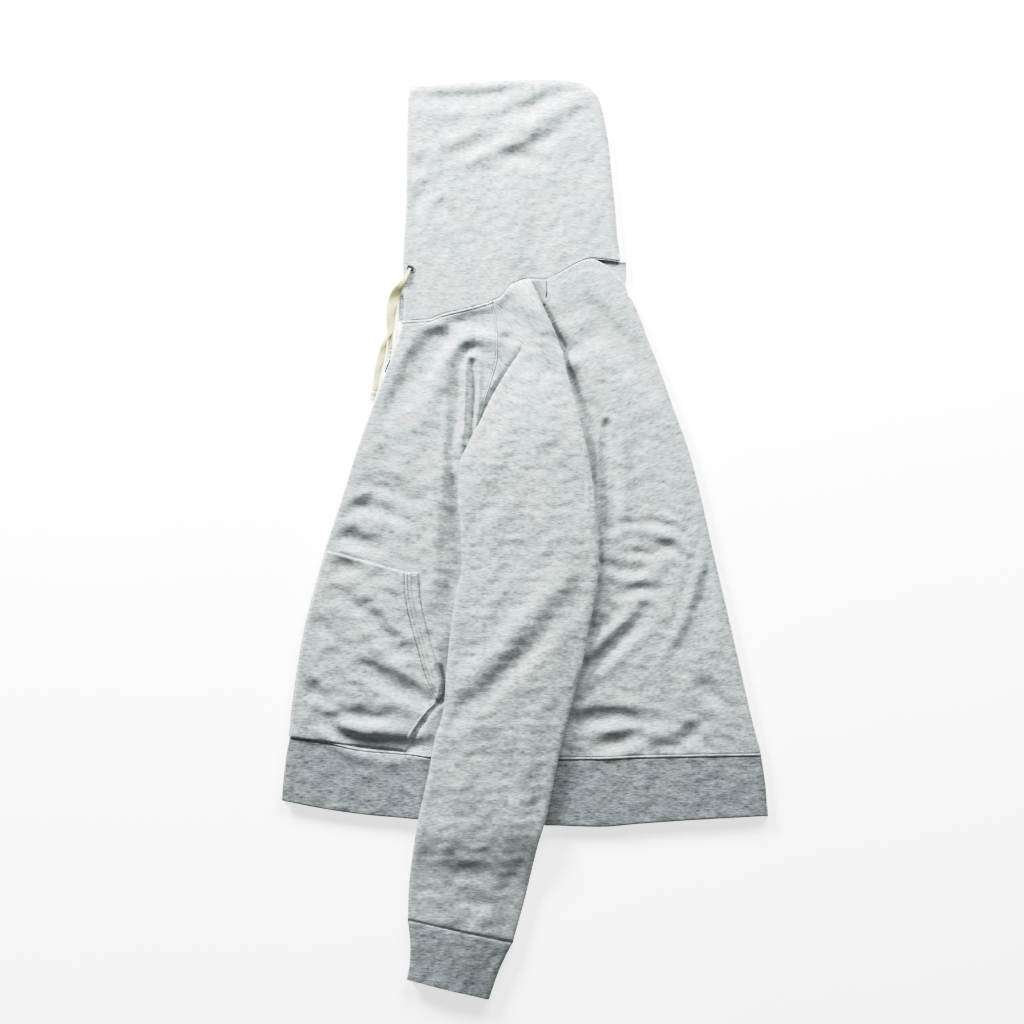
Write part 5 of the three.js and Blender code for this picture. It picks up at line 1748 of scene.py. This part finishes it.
@dataclass(frozen=True)
class Pocket:
    """The left kangaroo pocket with the facing strip on its curved opening."""

    edge_set: float = 2.2
    edge_row: float = 5.2
    first_row: float = 3.8
    twin_gap: float = 4.4
    side_row_x: tuple[float, ...] = (-140.2, -134.3, -124.6, -113.0, -105.5)
    side_row_y: tuple[float, ...] = (-243.5, -224.9, -208.7, -193.4, -185.4)

    @staticmethod
    def over_pocket(x: Array, y: Array) -> Array:
        """Height of the pocket's cloth."""
        return FORM.bed(x, y) + 0.15 + POCKET_WALL + ripple(x, y, *POCKET_RIPPLE)

    @staticmethod
    def over_facing(x: Array, y: Array) -> Array:
        """Height of the facing."""
        return FORM.bed(x, y) + 0.15 + POCKET_WALL + 0.75

    def panel(self) -> Cloth:
        """The pocket's own cloth."""
        left_y = np.asarray([row[0] for row in POCKET], float)
        rows = [
            (float(FORM.zip_x(ly)) + self.edge_set, ly, rx, ry)
            for ly, (_, rx, ry) in zip(left_y, POCKET)
        ]
        table, _ = between_rows(rows, CELL)
        flat = lay(table[:, :2], table[:, 2:])
        x, y = flat[:, :, 0], flat[:, :, 1]
        sides = from_sides(flat)
        z = self.over_pocket(x, y)
        for side in (Side.LEFT, Side.LOW):
            z = z - seam_dip(sides[side], 0.9, 2.2)
        for side in (Side.HIGH, Side.RIGHT):
            z = z - sewn(sides[side], 1.6, self.edge_row, 0.8)
        return Cloth.over(x, y, z)

    def facing(self) -> Cloth:
        """The strip along the opening."""
        table, _ = between_rows(FACING, CELL)
        flat = lay(table[:, :2], table[:, 2:], SEAM_STEPS, (0.0, 0.35, 0.8, 1.4, 2.1, 2.7), 0.8)
        x, y = flat[:, :, 0], flat[:, :, 1]
        sides = from_sides(flat)
        z = self.over_facing(x, y)
        z = z - sewn(sides[Side.LEFT], 1.5, self.first_row, 0.8) - seam_dip(sides[Side.RIGHT], 1.7, 2.4)
        z = z - 0.6 * np.exp(-(((sides[Side.LEFT] - self.first_row - self.twin_gap) / 0.6) ** 2))
        z = z - seam_dip(sides[Side.LOW], 0.9, 2.0) - seam_dip(sides[Side.HIGH], 0.9, 2.0)
        return Cloth.over(x, y, z)

    def build(self, finishes: Finishes) -> None:
        """Makes both pieces and their stitching.

        Args:
            finishes: the garment's finishes.
        """
        pieces = (
            ("pocket_left_cloth", self.panel(), "pocket_left"),
            ("pocket_facing_cloth", self.facing(), "pocket_facing_left"),
        )
        for name, cloth, node in pieces:
            sheet_piece(
                [cloth],
                name,
                finishes.fleece,
                node,
                POCKET_WALL,
            )
        table, _ = between_rows(FACING, CELL)
        for number, inset in enumerate((self.first_row, self.first_row + self.twin_gap)):
            sew(f"facing_stitching_{number}", table[:, 0] + inset, table[:, 1], self.over_facing, finishes)
        top = np.linspace(0.02, 0.96, 50)
        left_y, right_x, right_y = POCKET[-1]
        xs = mix(float(FORM.zip_x(left_y - 5.4)) + self.edge_set, right_x, top)
        sew("pocket_top_stitching", xs, mix(left_y, right_y, top) - 5.4, self.over_pocket, finishes)
        xs = np.linspace(self.side_row_x[0], self.side_row_x[-1], 30)
        ys = Line(self.side_row_x, self.side_row_y)(xs)
        sew("pocket_side_stitching", xs, ys, self.over_pocket, finishes)


@dataclass(frozen=True)
class Drawcord:
    """A flat cotton cord that lies free, from the hood to its bound end."""

    name: str
    route: tuple[Place, ...]
    widths: tuple[float, ...]
    thicks: tuple[float, ...]
    turns: tuple[float, ...]
    tip_at: Place
    tip_size: Place
    tip_turn: float

    width: float = 9.0
    around: int = 16
    pitch: float = 1.5
    windings: int = 6
    strands: int = 9

    def line(self) -> tuple[Array, Array]:
        """The cord's middle line, and how far along its route each point lies."""
        route = np.asarray(self.route, float)
        index = tuple(float(i) for i in range(len(route)))
        fine = np.linspace(0, len(route) - 1, 12 * len(route))
        points = np.stack([Line(index, tuple(route[:, k]))(fine) for k in range(3)], axis=1)
        along = np.concatenate([[0], np.cumsum(np.linalg.norm(np.diff(points, axis=0), axis=1))])
        count = math.ceil(along[-1] / self.pitch)
        even = np.linspace(0, along[-1], count + 1)
        marks = np.interp(even, along, fine) / (len(route) - 1)
        return np.stack([np.interp(even, along, points[:, k]) for k in range(3)], axis=1), marks

    def skin(self) -> Cloth:
        """The cord's surface, as rows of rings."""
        points, marks = self.line()
        stops = tuple(np.linspace(0, 1, len(self.widths)))
        width = Line(stops, self.widths)(marks)
        thick = Line(stops, self.thicks)(marks)
        turn = np.radians(Line(stops, self.turns)(marks))
        run = np.gradient(points, axis=0)
        run /= np.linalg.norm(run, axis=1, keepdims=True)
        across = np.cross(np.array([0.0, 0.0, 1.0]), run)
        across /= np.linalg.norm(across, axis=1, keepdims=True)
        up = np.cross(run, across)
        level = across * np.cos(turn)[:, None] + up * np.sin(turn)[:, None]
        over = up * np.cos(turn)[:, None] - across * np.sin(turn)[:, None]
        rings = []
        for angle in np.linspace(0, 2 * math.pi, self.around + 1):
            flat = math.copysign(abs(math.cos(angle)) ** 0.7, math.cos(angle))
            high = math.copysign(abs(math.sin(angle)) ** 0.8, math.sin(angle))
            rings.append(points + level * (width / 2 * flat)[:, None] + over * (thick / 2 * high)[:, None])
        grid = np.stack(rings, axis=1)
        along = np.concatenate([[0], np.cumsum(np.linalg.norm(np.diff(points, axis=0), axis=1))])
        round_it = np.linspace(0, 2 * self.width, self.around + 1)
        cut = np.stack(np.meshgrid(round_it, along), axis=2)
        return Cloth(grid, cut)

    def tip(self, finishes: Finishes) -> Piece:
        """The bound end: a wound sleeve of thread and a short tuft below it.

        Args:
            finishes: the garment's finishes.

        Returns:
            The piece.
        """
        maker = blank()
        width, length, thick = self.tip_size
        turn = Matrix.Rotation(math.radians(self.tip_turn), 4, "Z")
        place = Matrix.Translation(Vector(self.tip_at) * MM) @ turn
        for i in range(self.windings):
            y = length * (0.36 - 0.5 * i / self.windings)
            size = Vector((width * 0.43, length / self.windings * 0.36, thick * 0.5)) * MM
            spot = place @ Matrix.Translation((0, y * MM, 0)) @ Matrix.Diagonal((*size, 1))
            bmesh.ops.create_uvsphere(maker, u_segments=16, v_segments=8, radius=1, matrix=spot)
        for i in range(self.strands):
            share = i / (self.strands - 1) - 0.5
            reach = length * (0.3 + 0.08 * math.sin(5.1 * i))
            lean = Matrix.Rotation(math.radians(26 * share), 4, "Z")
            spot = place @ Matrix.Translation((width * 0.62 * share * MM, -length * 0.22 * MM, 0)) @ lean
            spot = spot @ Matrix.Translation((0, -reach / 2 * MM, 0)) @ Matrix.Rotation(math.pi / 2, 4, "X")
            bmesh.ops.create_cone(
                maker,
                cap_ends=True,
                segments=6,
                radius1=0.42 * MM,
                radius2=0.2 * MM,
                depth=reach * MM,
                matrix=spot,
            )
        return finished(maker, f"{self.name}_bound_end", finishes.binding, (f"{self.name}_tip",))

    def build(self, finishes: Finishes) -> None:
        """Makes the cord and its end.

        Args:
            finishes: the garment's finishes.
        """
        maker = weave([self.skin()])
        bmesh.ops.holes_fill(maker, edges=[e for e in maker.edges if e.is_boundary], sides=0)
        bmesh.ops.recalc_face_normals(maker, faces=maker.faces)
        piece = finished(maker, f"{self.name}_braid", finishes.cotton, (self.name,))
        end = self.tip(finishes)
        points, _ = self.line()


LEFT_CORD = Drawcord(
    name="drawcord_left",
    route=(
        (-131.2, 309.6, 11.6), (-133.6, 303.8, 11.7), (-137, 297, 11.2), (-142.2, 290.6, 9),
        (-147.4, 282.4, 5.4), (-151, 272.4, 3.4), (-153, 261, 3), (-153.6, 250, 3), (-154, 240, 3),
        (-157.4, 231.8, 3), (-160.8, 224.6, 2.8), (-163.4, 214.5, 1.4), (-165.6, 205.5, 1.3),
        (-167.8, 196.3, 1.3), (-169.6, 187, 1.3), (-171, 178, 1.3), (-172.3, 169.8, 1.3),
    ),
    widths=(3.6, 4.4, 6.4, 12.0, 12.2, 10.8, 7.8, 4.6, 7.8, 8.6, 7.8, 6.8, 6.4),
    thicks=(1.8, 1.8, 1.7, 1.7, 1.8, 1.9, 2.3, 2.7, 2.3, 2.1, 2.2, 2.2, 2.2),
    turns=(30, 26, 0, -22, 8, -20, 10, 30, -16, 8, -14, 10, 0),
    tip_at=(-174, 164, 1.6),
    tip_size=(7.4, 10.4, 2.6),
    tip_turn=-9,
)

RIGHT_CORD = Drawcord(
    name="drawcord_right",
    route=(
        (-145.4, 287.5, 1.1), (-148.6, 280.5, 1.1), (-151, 271.5, 1.1), (-152.6, 261, 1.1),
        (-153.2, 250, 1.1), (-153.4, 239, 1.1), (-154, 228, 1.1), (-154.7, 217.6, 1.2),
    ),
    widths=(8.4, 8.8, 8.6, 7.4, 5.4, 5.0, 4.8),
    thicks=(1.6, 1.6, 1.6, 1.8, 2.1, 2.1, 2.0),
    turns=(0, 0, 0, 3, -4, 3, 0),
    tip_at=(-155.3, 212.4, 1.5),
    tip_size=(5.2, 9, 2.4),
    tip_turn=-7,
)


@dataclass(frozen=True)
class Eyelet:
    """The eyelet sewn round the hole that the drawcord leaves the hood by."""

    at: Point = (-131.0, 309.8)
    radius: float = 5.6
    squeeze: float = 0.6
    stitches: int = 34
    stitch_size: Place = (1.15, 0.3, 0.5)
    reach: float = 3.0

    def build(self, finishes: Finishes) -> None:
        """Makes the ring of stitches and the near-black disc of painted shade that stands for the hole's
        depth.

        Args:
            finishes: the garment's finishes.
        """
        x, y = self.at
        xs, ys = np.array([x, x + self.reach, x]), np.array([y, y, y + self.reach])
        height, beside, above = (float(z) for z in FORM.hood(xs, ys))
        slope_x, slope_y = (beside - height) / self.reach, (above - height) / self.reach
        tilt = Vector((-slope_x, -slope_y, 1)).to_track_quat("Z", "Y").to_matrix().to_4x4()
        place = Matrix.Translation(Vector((x, y, height + 0.25)) * MM) @ tilt
        maker = blank()
        for i in range(self.stitches):
            angle = 2 * math.pi * i / self.stitches
            across = self.radius * self.squeeze * math.cos(angle)
            spot = Vector((across, self.radius * math.sin(angle), 0)) * MM
            size = Matrix.Diagonal((*(Vector(self.stitch_size) * MM), 1))
            matrix = place @ Matrix.Translation(spot) @ Matrix.Rotation(angle, 4, "Z") @ size
            bmesh.ops.create_uvsphere(maker, u_segments=8, v_segments=5, radius=1, matrix=matrix)
        finished(maker, "eyelet_stitches", finishes.thread, ("eyelet_left",))
        # Painted shade: a thin near-black disc on the hood stands for the shadow inside the hole.
        maker = blank()
        size = Matrix.Diagonal((self.squeeze, 1, 1, 1))
        bmesh.ops.create_cone(
            maker,
            cap_ends=True,
            segments=20,
            radius1=(self.radius - 0.5) * MM,
            radius2=(self.radius - 0.7) * MM,
            depth=0.3 * MM,
            matrix=place @ size,
        )
        finished(maker, "eyelet_shade_disc", finishes.hole_shade, ())


@dataclass(frozen=True)
class Zip:
    """The closed zip inside the front edge: tapes, teeth, slider and pull tab."""

    low_y: float = -298.0
    high_y: float = 246.0
    inset: float = 3.4
    height: float = 4.6
    tooth_pitch: float = 2.6
    slider_y: float = 204.4
    slider_z: float = 5.4
    pivot: Place = (-154.6721, 205.0896, 5.4)
    tape_columns: tuple[float, ...] = (0, 3, 6, 9, 12)
    tape_apart: float = 0.9
    tooth: Place = (2.9, 1.0, 1.7)
    tooth_step: float = 0.45
    slider_size: Place = (4.6, 8.8, 5.0)
    bridge_radius: float = 3.0
    rail_size: Place = (1.05, 4.4, 0.75)
    rail_apart: float = 1.5
    plate_size: Place = (1.4, 11.3, 3.75)
    plate_y: float = -9.85

    def slant(self) -> float:
        """Angle of the zip edge where the slider stands."""
        gap = float(FORM.zip_x(self.slider_y + 10) - FORM.zip_x(self.slider_y - 10))
        return -math.atan2(gap, 20)

    def tapes(self) -> tuple[Cloth, Cloth]:
        """The upper and the lower tape."""
        y = np.linspace(self.low_y, self.high_y, 180)
        start = FORM.zip_x(y) + self.inset
        sheets = []
        for z in (self.height + self.tape_apart, self.height - self.tape_apart):
            columns = [np.stack([start + w, y, np.full_like(y, z)], axis=1) for w in self.tape_columns]
            points = np.stack(columns, axis=1)
            sheets.append(Cloth(points, points[:, :, :2].copy()))
        return sheets[0], sheets[1].flipped()

    def teeth(self, finishes: Finishes) -> None:
        """The closed teeth, one small block for each.

        Args:
            finishes: the garment's finishes.
        """
        maker = blank()
        for i, y in enumerate(np.arange(self.low_y + 2, self.high_y - 2, self.tooth_pitch / 2)):
            x = float(FORM.zip_x(y)) + self.inset - 0.6
            z = self.height + (self.tooth_step if i % 2 else -self.tooth_step)
            size = Matrix.Diagonal((*(Vector(self.tooth) * MM), 1))
            place = Matrix.Translation(Vector((x, float(y), z)) * MM)
            bmesh.ops.create_cube(maker, size=1, matrix=place @ size)
        finished(maker, "zip_teeth", finishes.teeth, ("zip_tape",))

    def slider(self, finishes: Finishes) -> None:
        """The slider's body and the bridge that holds the pull.

        Args:
            finishes: the garment's finishes.
        """
        maker = blank()
        block = bmesh.ops.create_cube(maker, size=1, matrix=Matrix.Diagonal((*self.slider_size, 1)))["verts"]
        for v in block:
            v.co.y *= 1 if v.co.x < 0 else 0.78
        softened(maker, 0.7, 3)
        bmesh.ops.translate(maker, verts=maker.verts, vec=(1.7, 0, 0))
        bow = bmesh.ops.create_circle(maker, segments=10, radius=0.5)["verts"]
        bmesh.ops.scale(maker, verts=bow, vec=(1.0, 1.2, 1))
        bmesh.ops.rotate(maker, verts=bow, matrix=Matrix.Rotation(math.pi / 2, 3, "Y"))
        foot = (-0.4, self.bridge_radius, 0)
        bmesh.ops.translate(maker, verts=bow, vec=foot)
        bmesh.ops.rotate(maker, verts=bow, cent=foot, matrix=Matrix.Rotation(math.pi / 2, 3, "Z"))
        ring = list({e for v in bow for e in v.link_edges})
        bmesh.ops.spin(
            maker,
            geom=bow + ring,
            cent=(-0.4, 0, 0),
            axis=(0, 0, 1),
            dvec=(0, 0, 0),
            angle=math.pi,
            steps=14,
            use_merge=False,
        )
        bmesh.ops.recalc_face_normals(maker, faces=maker.faces)
        start = Vector((float(FORM.zip_x(self.slider_y)) + 1.2, self.slider_y, self.slider_z)) * MM
        place = Matrix.Translation(start) @ Matrix.Rotation(self.slant(), 4, "Z") @ Matrix.Scale(MM, 4)
        bmesh.ops.transform(maker, matrix=place, verts=maker.verts)
        finished(maker, "zip_slider_body", finishes.metal, ("zip_slider",))

    def pull(self, finishes: Finishes) -> None:
        """The pull tab: a bar through the bridge, two rails and a tapered plate.

        Args:
            finishes: the garment's finishes.
        """
        maker = blank()
        bmesh.ops.create_cone(maker, cap_ends=True, segments=14, radius1=0.58, radius2=0.58, depth=3.7)
        for z in (-self.rail_apart, self.rail_apart):
            rail = Matrix.Translation((0, -2.3, z)) @ Matrix.Diagonal((*self.rail_size, 1))
            bmesh.ops.create_cube(maker, size=1, matrix=rail)
        middle = Matrix.Translation((0, self.plate_y, 0)) @ Matrix.Diagonal((*self.plate_size, 1))
        plate = bmesh.ops.create_cube(maker, size=1, matrix=middle)["verts"]
        for v in plate:
            if v.co.y < self.plate_y:
                v.co.x *= 0.7
                v.co.z *= 0.86
        softened(maker, 0.2, 2)
        bmesh.ops.recalc_face_normals(maker, faces=maker.faces)
        place = Matrix.Translation(Vector(self.pivot) * MM) @ Matrix.Rotation(self.slant(), 4, "Z")
        bmesh.ops.transform(maker, matrix=place @ Matrix.Scale(MM, 4), verts=maker.verts)
        finished(maker, "zip_pull_tab", finishes.metal, ("zip_pull",), PULL_TAB)

    def build(self, finishes: Finishes) -> None:
        """Makes the whole zip.

        Args:
            finishes: the garment's finishes.
        """
        upper, lower = self.tapes()
        for name, cloth in (("zip_tape_upper", upper), ("zip_tape_lower", lower)):
            sheet_piece([cloth], name, finishes.tape, "zip_tape", TAPE_WALL)
        self.teeth(finishes)
        self.slider(finishes)
        self.pull(finishes)


@dataclass(frozen=True)
class HiddenHalf:
    """The right half of the garment, folded under: its outer side lies on the surface."""

    peek: float = 5.6
    cell: float = 5.0
    under: float = 0.3
    neck_right: Point = (116.8, 319.4)
    front_y: Point = (-223.0, 250.0)
    fold_low_y: float = -249.3
    hood_face_y: Point = (249.0, 518.0)
    hood_back_y: Point = (316.0, 508.0)
    hood_roll: float = 4.4
    rib_pitch: float = 3.85
    rib_depth: float = 0.3
    hem_wall: float = 1.5
    tube_wall: float = 1.2

    @staticmethod
    def over_sleeve(x: Array, y: Array) -> Array:
        """How far the right sleeve, folded below, lifts the cloth over it."""
        return 5.0 * smooth(-3, 9, np.minimum(x - FORM.sleeve_left(y), FORM.sleeve_right(y) - x))

    def body(self) -> Cloth:
        """The right front and the back's other half, from the hem seam to the neck."""
        t = spread(520.0, SEAM_STEPS, SEAM_STEPS, self.cell)[0]
        left_y = mix(*self.front_y, t)
        right_y = mix(self.fold_low_y, self.neck_right[1], t)
        left_x = FORM.zip_x(left_y) + 0.8 - self.peek * smooth(243, 256, left_y)
        folded_x = FORM.fold_x(right_y) - FOLD_RADIUS - FOLD_RETURN
        right_x = mix(folded_x, self.neck_right[0], smooth(286, 293, right_y))
        flat = lay(pairs(left_x, left_y), pairs(right_x, right_y), pitch=self.cell)
        low_left = (float(left_x[0]), self.front_y[0])
        at_hem = off_chord(FORM.hem_seam, low_left, (float(right_x[0]), self.fold_low_y))
        at_neck = off_chord(FORM.neck, (float(left_x[-1]), self.front_y[1]), self.neck_right)
        s = t[:, None]
        flat[:, :, 1] += (1 - s) ** 3 * at_hem(flat[:, :, 0]) + s**6 * at_neck(flat[:, :, 0])
        x, y = flat[:, :, 0], flat[:, :, 1]
        sides = from_sides(flat)
        z = self.under + self.over_sleeve(x, y) * (1 - smooth(150, 215, y))
        z = z + 2.6 * smooth(84, 96, x) * smooth(280, 292, y)
        for side in (Side.LEFT, Side.LOW, Side.HIGH):
            z = z + seam_dip(sides[side], 1.0, 2.0)
        return Cloth.over(x, y, z).flipped()

    def hem(self) -> Cloth:
        """The hem band's other half."""
        t = spread(70.0, (0.0, 1.0, 2.4, 4.0), SEAM_STEPS, 8.0)[0]
        share = np.linspace(0, 1, 560)[None, :]
        left_x = mix(-278.8, -269.8, t)[:, None]
        right_x = (FORM.fold_x(mix(-320.0, -250.0, t)) - FOLD_RADIUS - FOLD_RETURN + 2)[:, None]
        x = mix(left_x, right_x, share)
        y = mix(FORM.hem_low(x) + 0.8, FORM.hem_seam(x), t[:, None])
        flat = pairs(x, y)
        sides = from_sides(flat)
        seams = seam_dip(sides[Side.HIGH]) + seam_dip(sides[Side.LOW], 1.2, 2.0)
        z = 2 * self.under + self.over_sleeve(x, y) + seams
        ribs = self.rib_depth * np.cos(2 * math.pi * x / self.rib_pitch)
        z = z - ribs * smooth(*BESIDE_SEAM, sides[Side.HIGH])
        return Cloth.over(x, y, z, flat * np.array([RIB_PITCH / self.rib_pitch, 1.0])).flipped()

    def hood(self) -> Cloth:
        """The right panel of the hood."""
        t = spread(270.0, SEAM_STEPS, ROLL_STEPS, 4.0)[0]
        left_y = mix(*self.hood_face_y, t)
        right_y = mix(*self.hood_back_y, t)
        left_x = FORM.face_x(left_y) + 0.4 - self.peek * (1 - smooth(284, 298, left_y))
        right_x = FORM.hood_back_x(right_y) - 0.3
        left, right = pairs(left_x, left_y), pairs(right_x, right_y)
        flat = lay(left, right, SEAM_STEPS, ROLL_STEPS, 4.0)
        at_neck = off_chord(
            FORM.neck, (Hood.neck_left[0], self.hood_face_y[0]), (Hood.neck_right[0], self.hood_back_y[0])
        )
        at_crown = off_chord(FORM.crown, Hood.crown_left, Hood.crown_right)
        s = t[:, None]
        flat[:, :, 1] += (1 - s) ** 3 * at_neck(flat[:, :, 0]) + s**4 * at_crown(flat[:, :, 0])
        x, y = flat[:, :, 0], flat[:, :, 1]
        sides = from_sides(flat)
        rolled = 1 - round_off(np.minimum(sides[Side.RIGHT], sides[Side.HIGH]), HOOD_ROLL)
        z = self.under + self.hood_roll * rolled * smooth(*HOOD_ROLL_START, y)
        z = z + seam_dip(sides[Side.LEFT], 1.0, 2.0) + seam_dip(sides[Side.LOW])
        return Cloth.over(x, y, z).flipped()

    def tube(
        self, rows: Sequence[Sequence[float]], inset: float, top_z: float, pitch: float
    ) -> tuple[Cloth, Cloth]:
        """A flat tube on the surface.

        Args:
            rows: section table.
            inset: how far it keeps inside the table's edges.
            top_z: height of its upper skin.
            pitch: greatest step across.

        Returns:
            Upper and lower skin.
        """
        table, _ = between_rows(rows, 6.0)
        left = table[:, :2] + np.array([inset, 0])
        right = table[:, 2:] - np.array([inset, 0])
        flat = lay(left, right, ROLL_STEPS, ROLL_STEPS, pitch)
        x, y = flat[:, :, 0], flat[:, :, 1]
        width = np.linalg.norm(right - left, axis=1)[:, None]
        across = from_sides(flat)[Side.LEFT]
        edge = np.minimum(across, width - across)
        rolled = 1 - round_off(edge, 7)
        upper = Cloth.over(x, y, top_z - top_z / 2 * rolled)
        lower = Cloth.over(x, y, mix(0.15, top_z / 2, rolled))
        return upper.upside(), lower.upside().flipped()

    def build(self, finishes: Finishes) -> None:
        """Makes the hidden half's pieces.

        Args:
            finishes: the garment's finishes.
        """
        fleece, rib = (finishes.fleece, Slot.FLEECE), (finishes.rib, Slot.RIB)
        pieces = (
            ("right_body_cloth", [self.body()], fleece, FLEECE_WALL),
            ("right_hem_band", [self.hem()], rib, self.hem_wall),
            ("right_hood_cloth", [self.hood()], fleece, FLEECE_WALL),
            ("right_sleeve_cloth", self.tube(SLEEVE[5:], 1.6, 5.2, 4.0), fleece, self.tube_wall),
            ("right_cuff_band", self.tube(CUFF, 1.9, 5.8, 2.4), rib, self.tube_wall),
        )
        for name, cloths, (material, slot), wall in pieces:
            sheet_piece(cloths, name, material, "hidden_layers", wall)


@dataclass(frozen=True)
class Studio:
    """The pale floor, the soft light and the camera straight above."""

    camera_at: Place = (-14.4, 30.5, 3000.0)
    frame_width: float = 1177.6
    sensor: float = 36.0
    room: Place = (0.97, 0.985, 1.0)
    room_light: float = 0.14
    floor_z: float = -0.6
    windows: tuple[tuple[str, Place, float, float, float], ...] = (
        ("side_window", (-1.5, 1.85, 0.95), 0.9, 0.6, 103.0),
        ("top_window", (0.5, 1.45, 0.95), 1.1, 0.7, 36.0),
    )
    tones: tuple[Point, ...] = (
        (0.0, 0.0), (0.1, 0.07), (0.2, 0.17), (0.3, 0.29), (0.45, 0.46), (0.6, 0.6), (0.8, 0.71),
        (1.0, 0.785), (1.3, 0.87), (2.0, 1.0),
    )

    def camera(self) -> None:
        """Hangs the camera where the photograph was taken from."""
        data = bpy.data.cameras.new("camera")
        data.sensor_width = self.sensor
        data.lens = self.sensor * self.camera_at[2] / self.frame_width
        data.clip_end = 20
        camera = bpy.data.objects.new("camera", data)
        camera.location = Vector(self.camera_at) * MM
        bpy.context.scene.collection.objects.link(camera)
        bpy.context.scene.camera = camera

    def floor(self) -> None:
        """Lays the floor."""
        maker = bmesh.new()
        bmesh.ops.create_grid(maker, x_segments=8, y_segments=8, size=8)
        bmesh.ops.translate(maker, verts=maker.verts, vec=(0, 0, self.floor_z * MM))
        mesh = bpy.data.meshes.new("floor")
        maker.to_mesh(mesh)
        maker.free()
        mesh.materials.append(StudioPaper().make())
        floor = bpy.data.objects.new("floor", mesh)
        bpy.context.scene.collection.objects.link(floor)

    def lights(self) -> None:
        """Hangs two broad lights beyond the hood and fills the rest with a white room."""
        world = bpy.data.worlds.new("white_room")
        world.use_nodes = True
        background = world.node_tree.nodes["Background"]
        background.inputs["Color"].default_value = (*self.room, 1)
        background.inputs["Strength"].default_value = self.room_light
        bpy.context.scene.world = world
        for name, place, width, height, power in self.windows:
            data = bpy.data.lights.new(name, "AREA")
            data.shape = "RECTANGLE"
            data.size, data.size_y = width, height
            data.energy = power
            light = bpy.data.objects.new(name, data)
            light.location = place
            light.rotation_euler = (Vector((0, 0.05, 0)) - light.location).to_track_quat("-Z", "Y").to_euler()
            bpy.context.scene.collection.objects.link(light)

    def film(self) -> None:
        """Gives the picture the bright, soft highlights of a pale studio shot."""
        view = bpy.context.scene.view_settings
        view.view_transform = "Standard"
        view.use_curve_mapping = True
        mapping = view.curve_mapping
        mapping.white_level = (2.0, 2.0, 2.0)
        curve = mapping.curves[3]
        for place, value in self.tones[1:-1]:
            curve.points.new(place / 2, value)
        curve.points[0].location = self.tones[0]
        curve.points[-1].location = (self.tones[-1][0] / 2, self.tones[-1][1])
        mapping.update()

    def build(self) -> None:
        """Lays the floor and sets the light and the picture's tones."""
        self.floor()
        self.lights()
        self.film()


def main() -> None:
    """Builds the garment and the studio in order."""
    logging.basicConfig(level=logging.INFO, format="%(message)s")
    studio = Studio()
    studio.camera()
    finishes = Finishes()
    for cord in (LEFT_CORD, RIGHT_CORD):
        cord.build(finishes)
    for part in (Body(), Hem(), Sleeve(), Cuff(), Hood(), Pocket(), Eyelet(), Zip(), HiddenHalf()):
        part.build(finishes)
        LOG.info("built %s", type(part).__name__)
    studio.build()


if __name__ == "__main__":
    main()
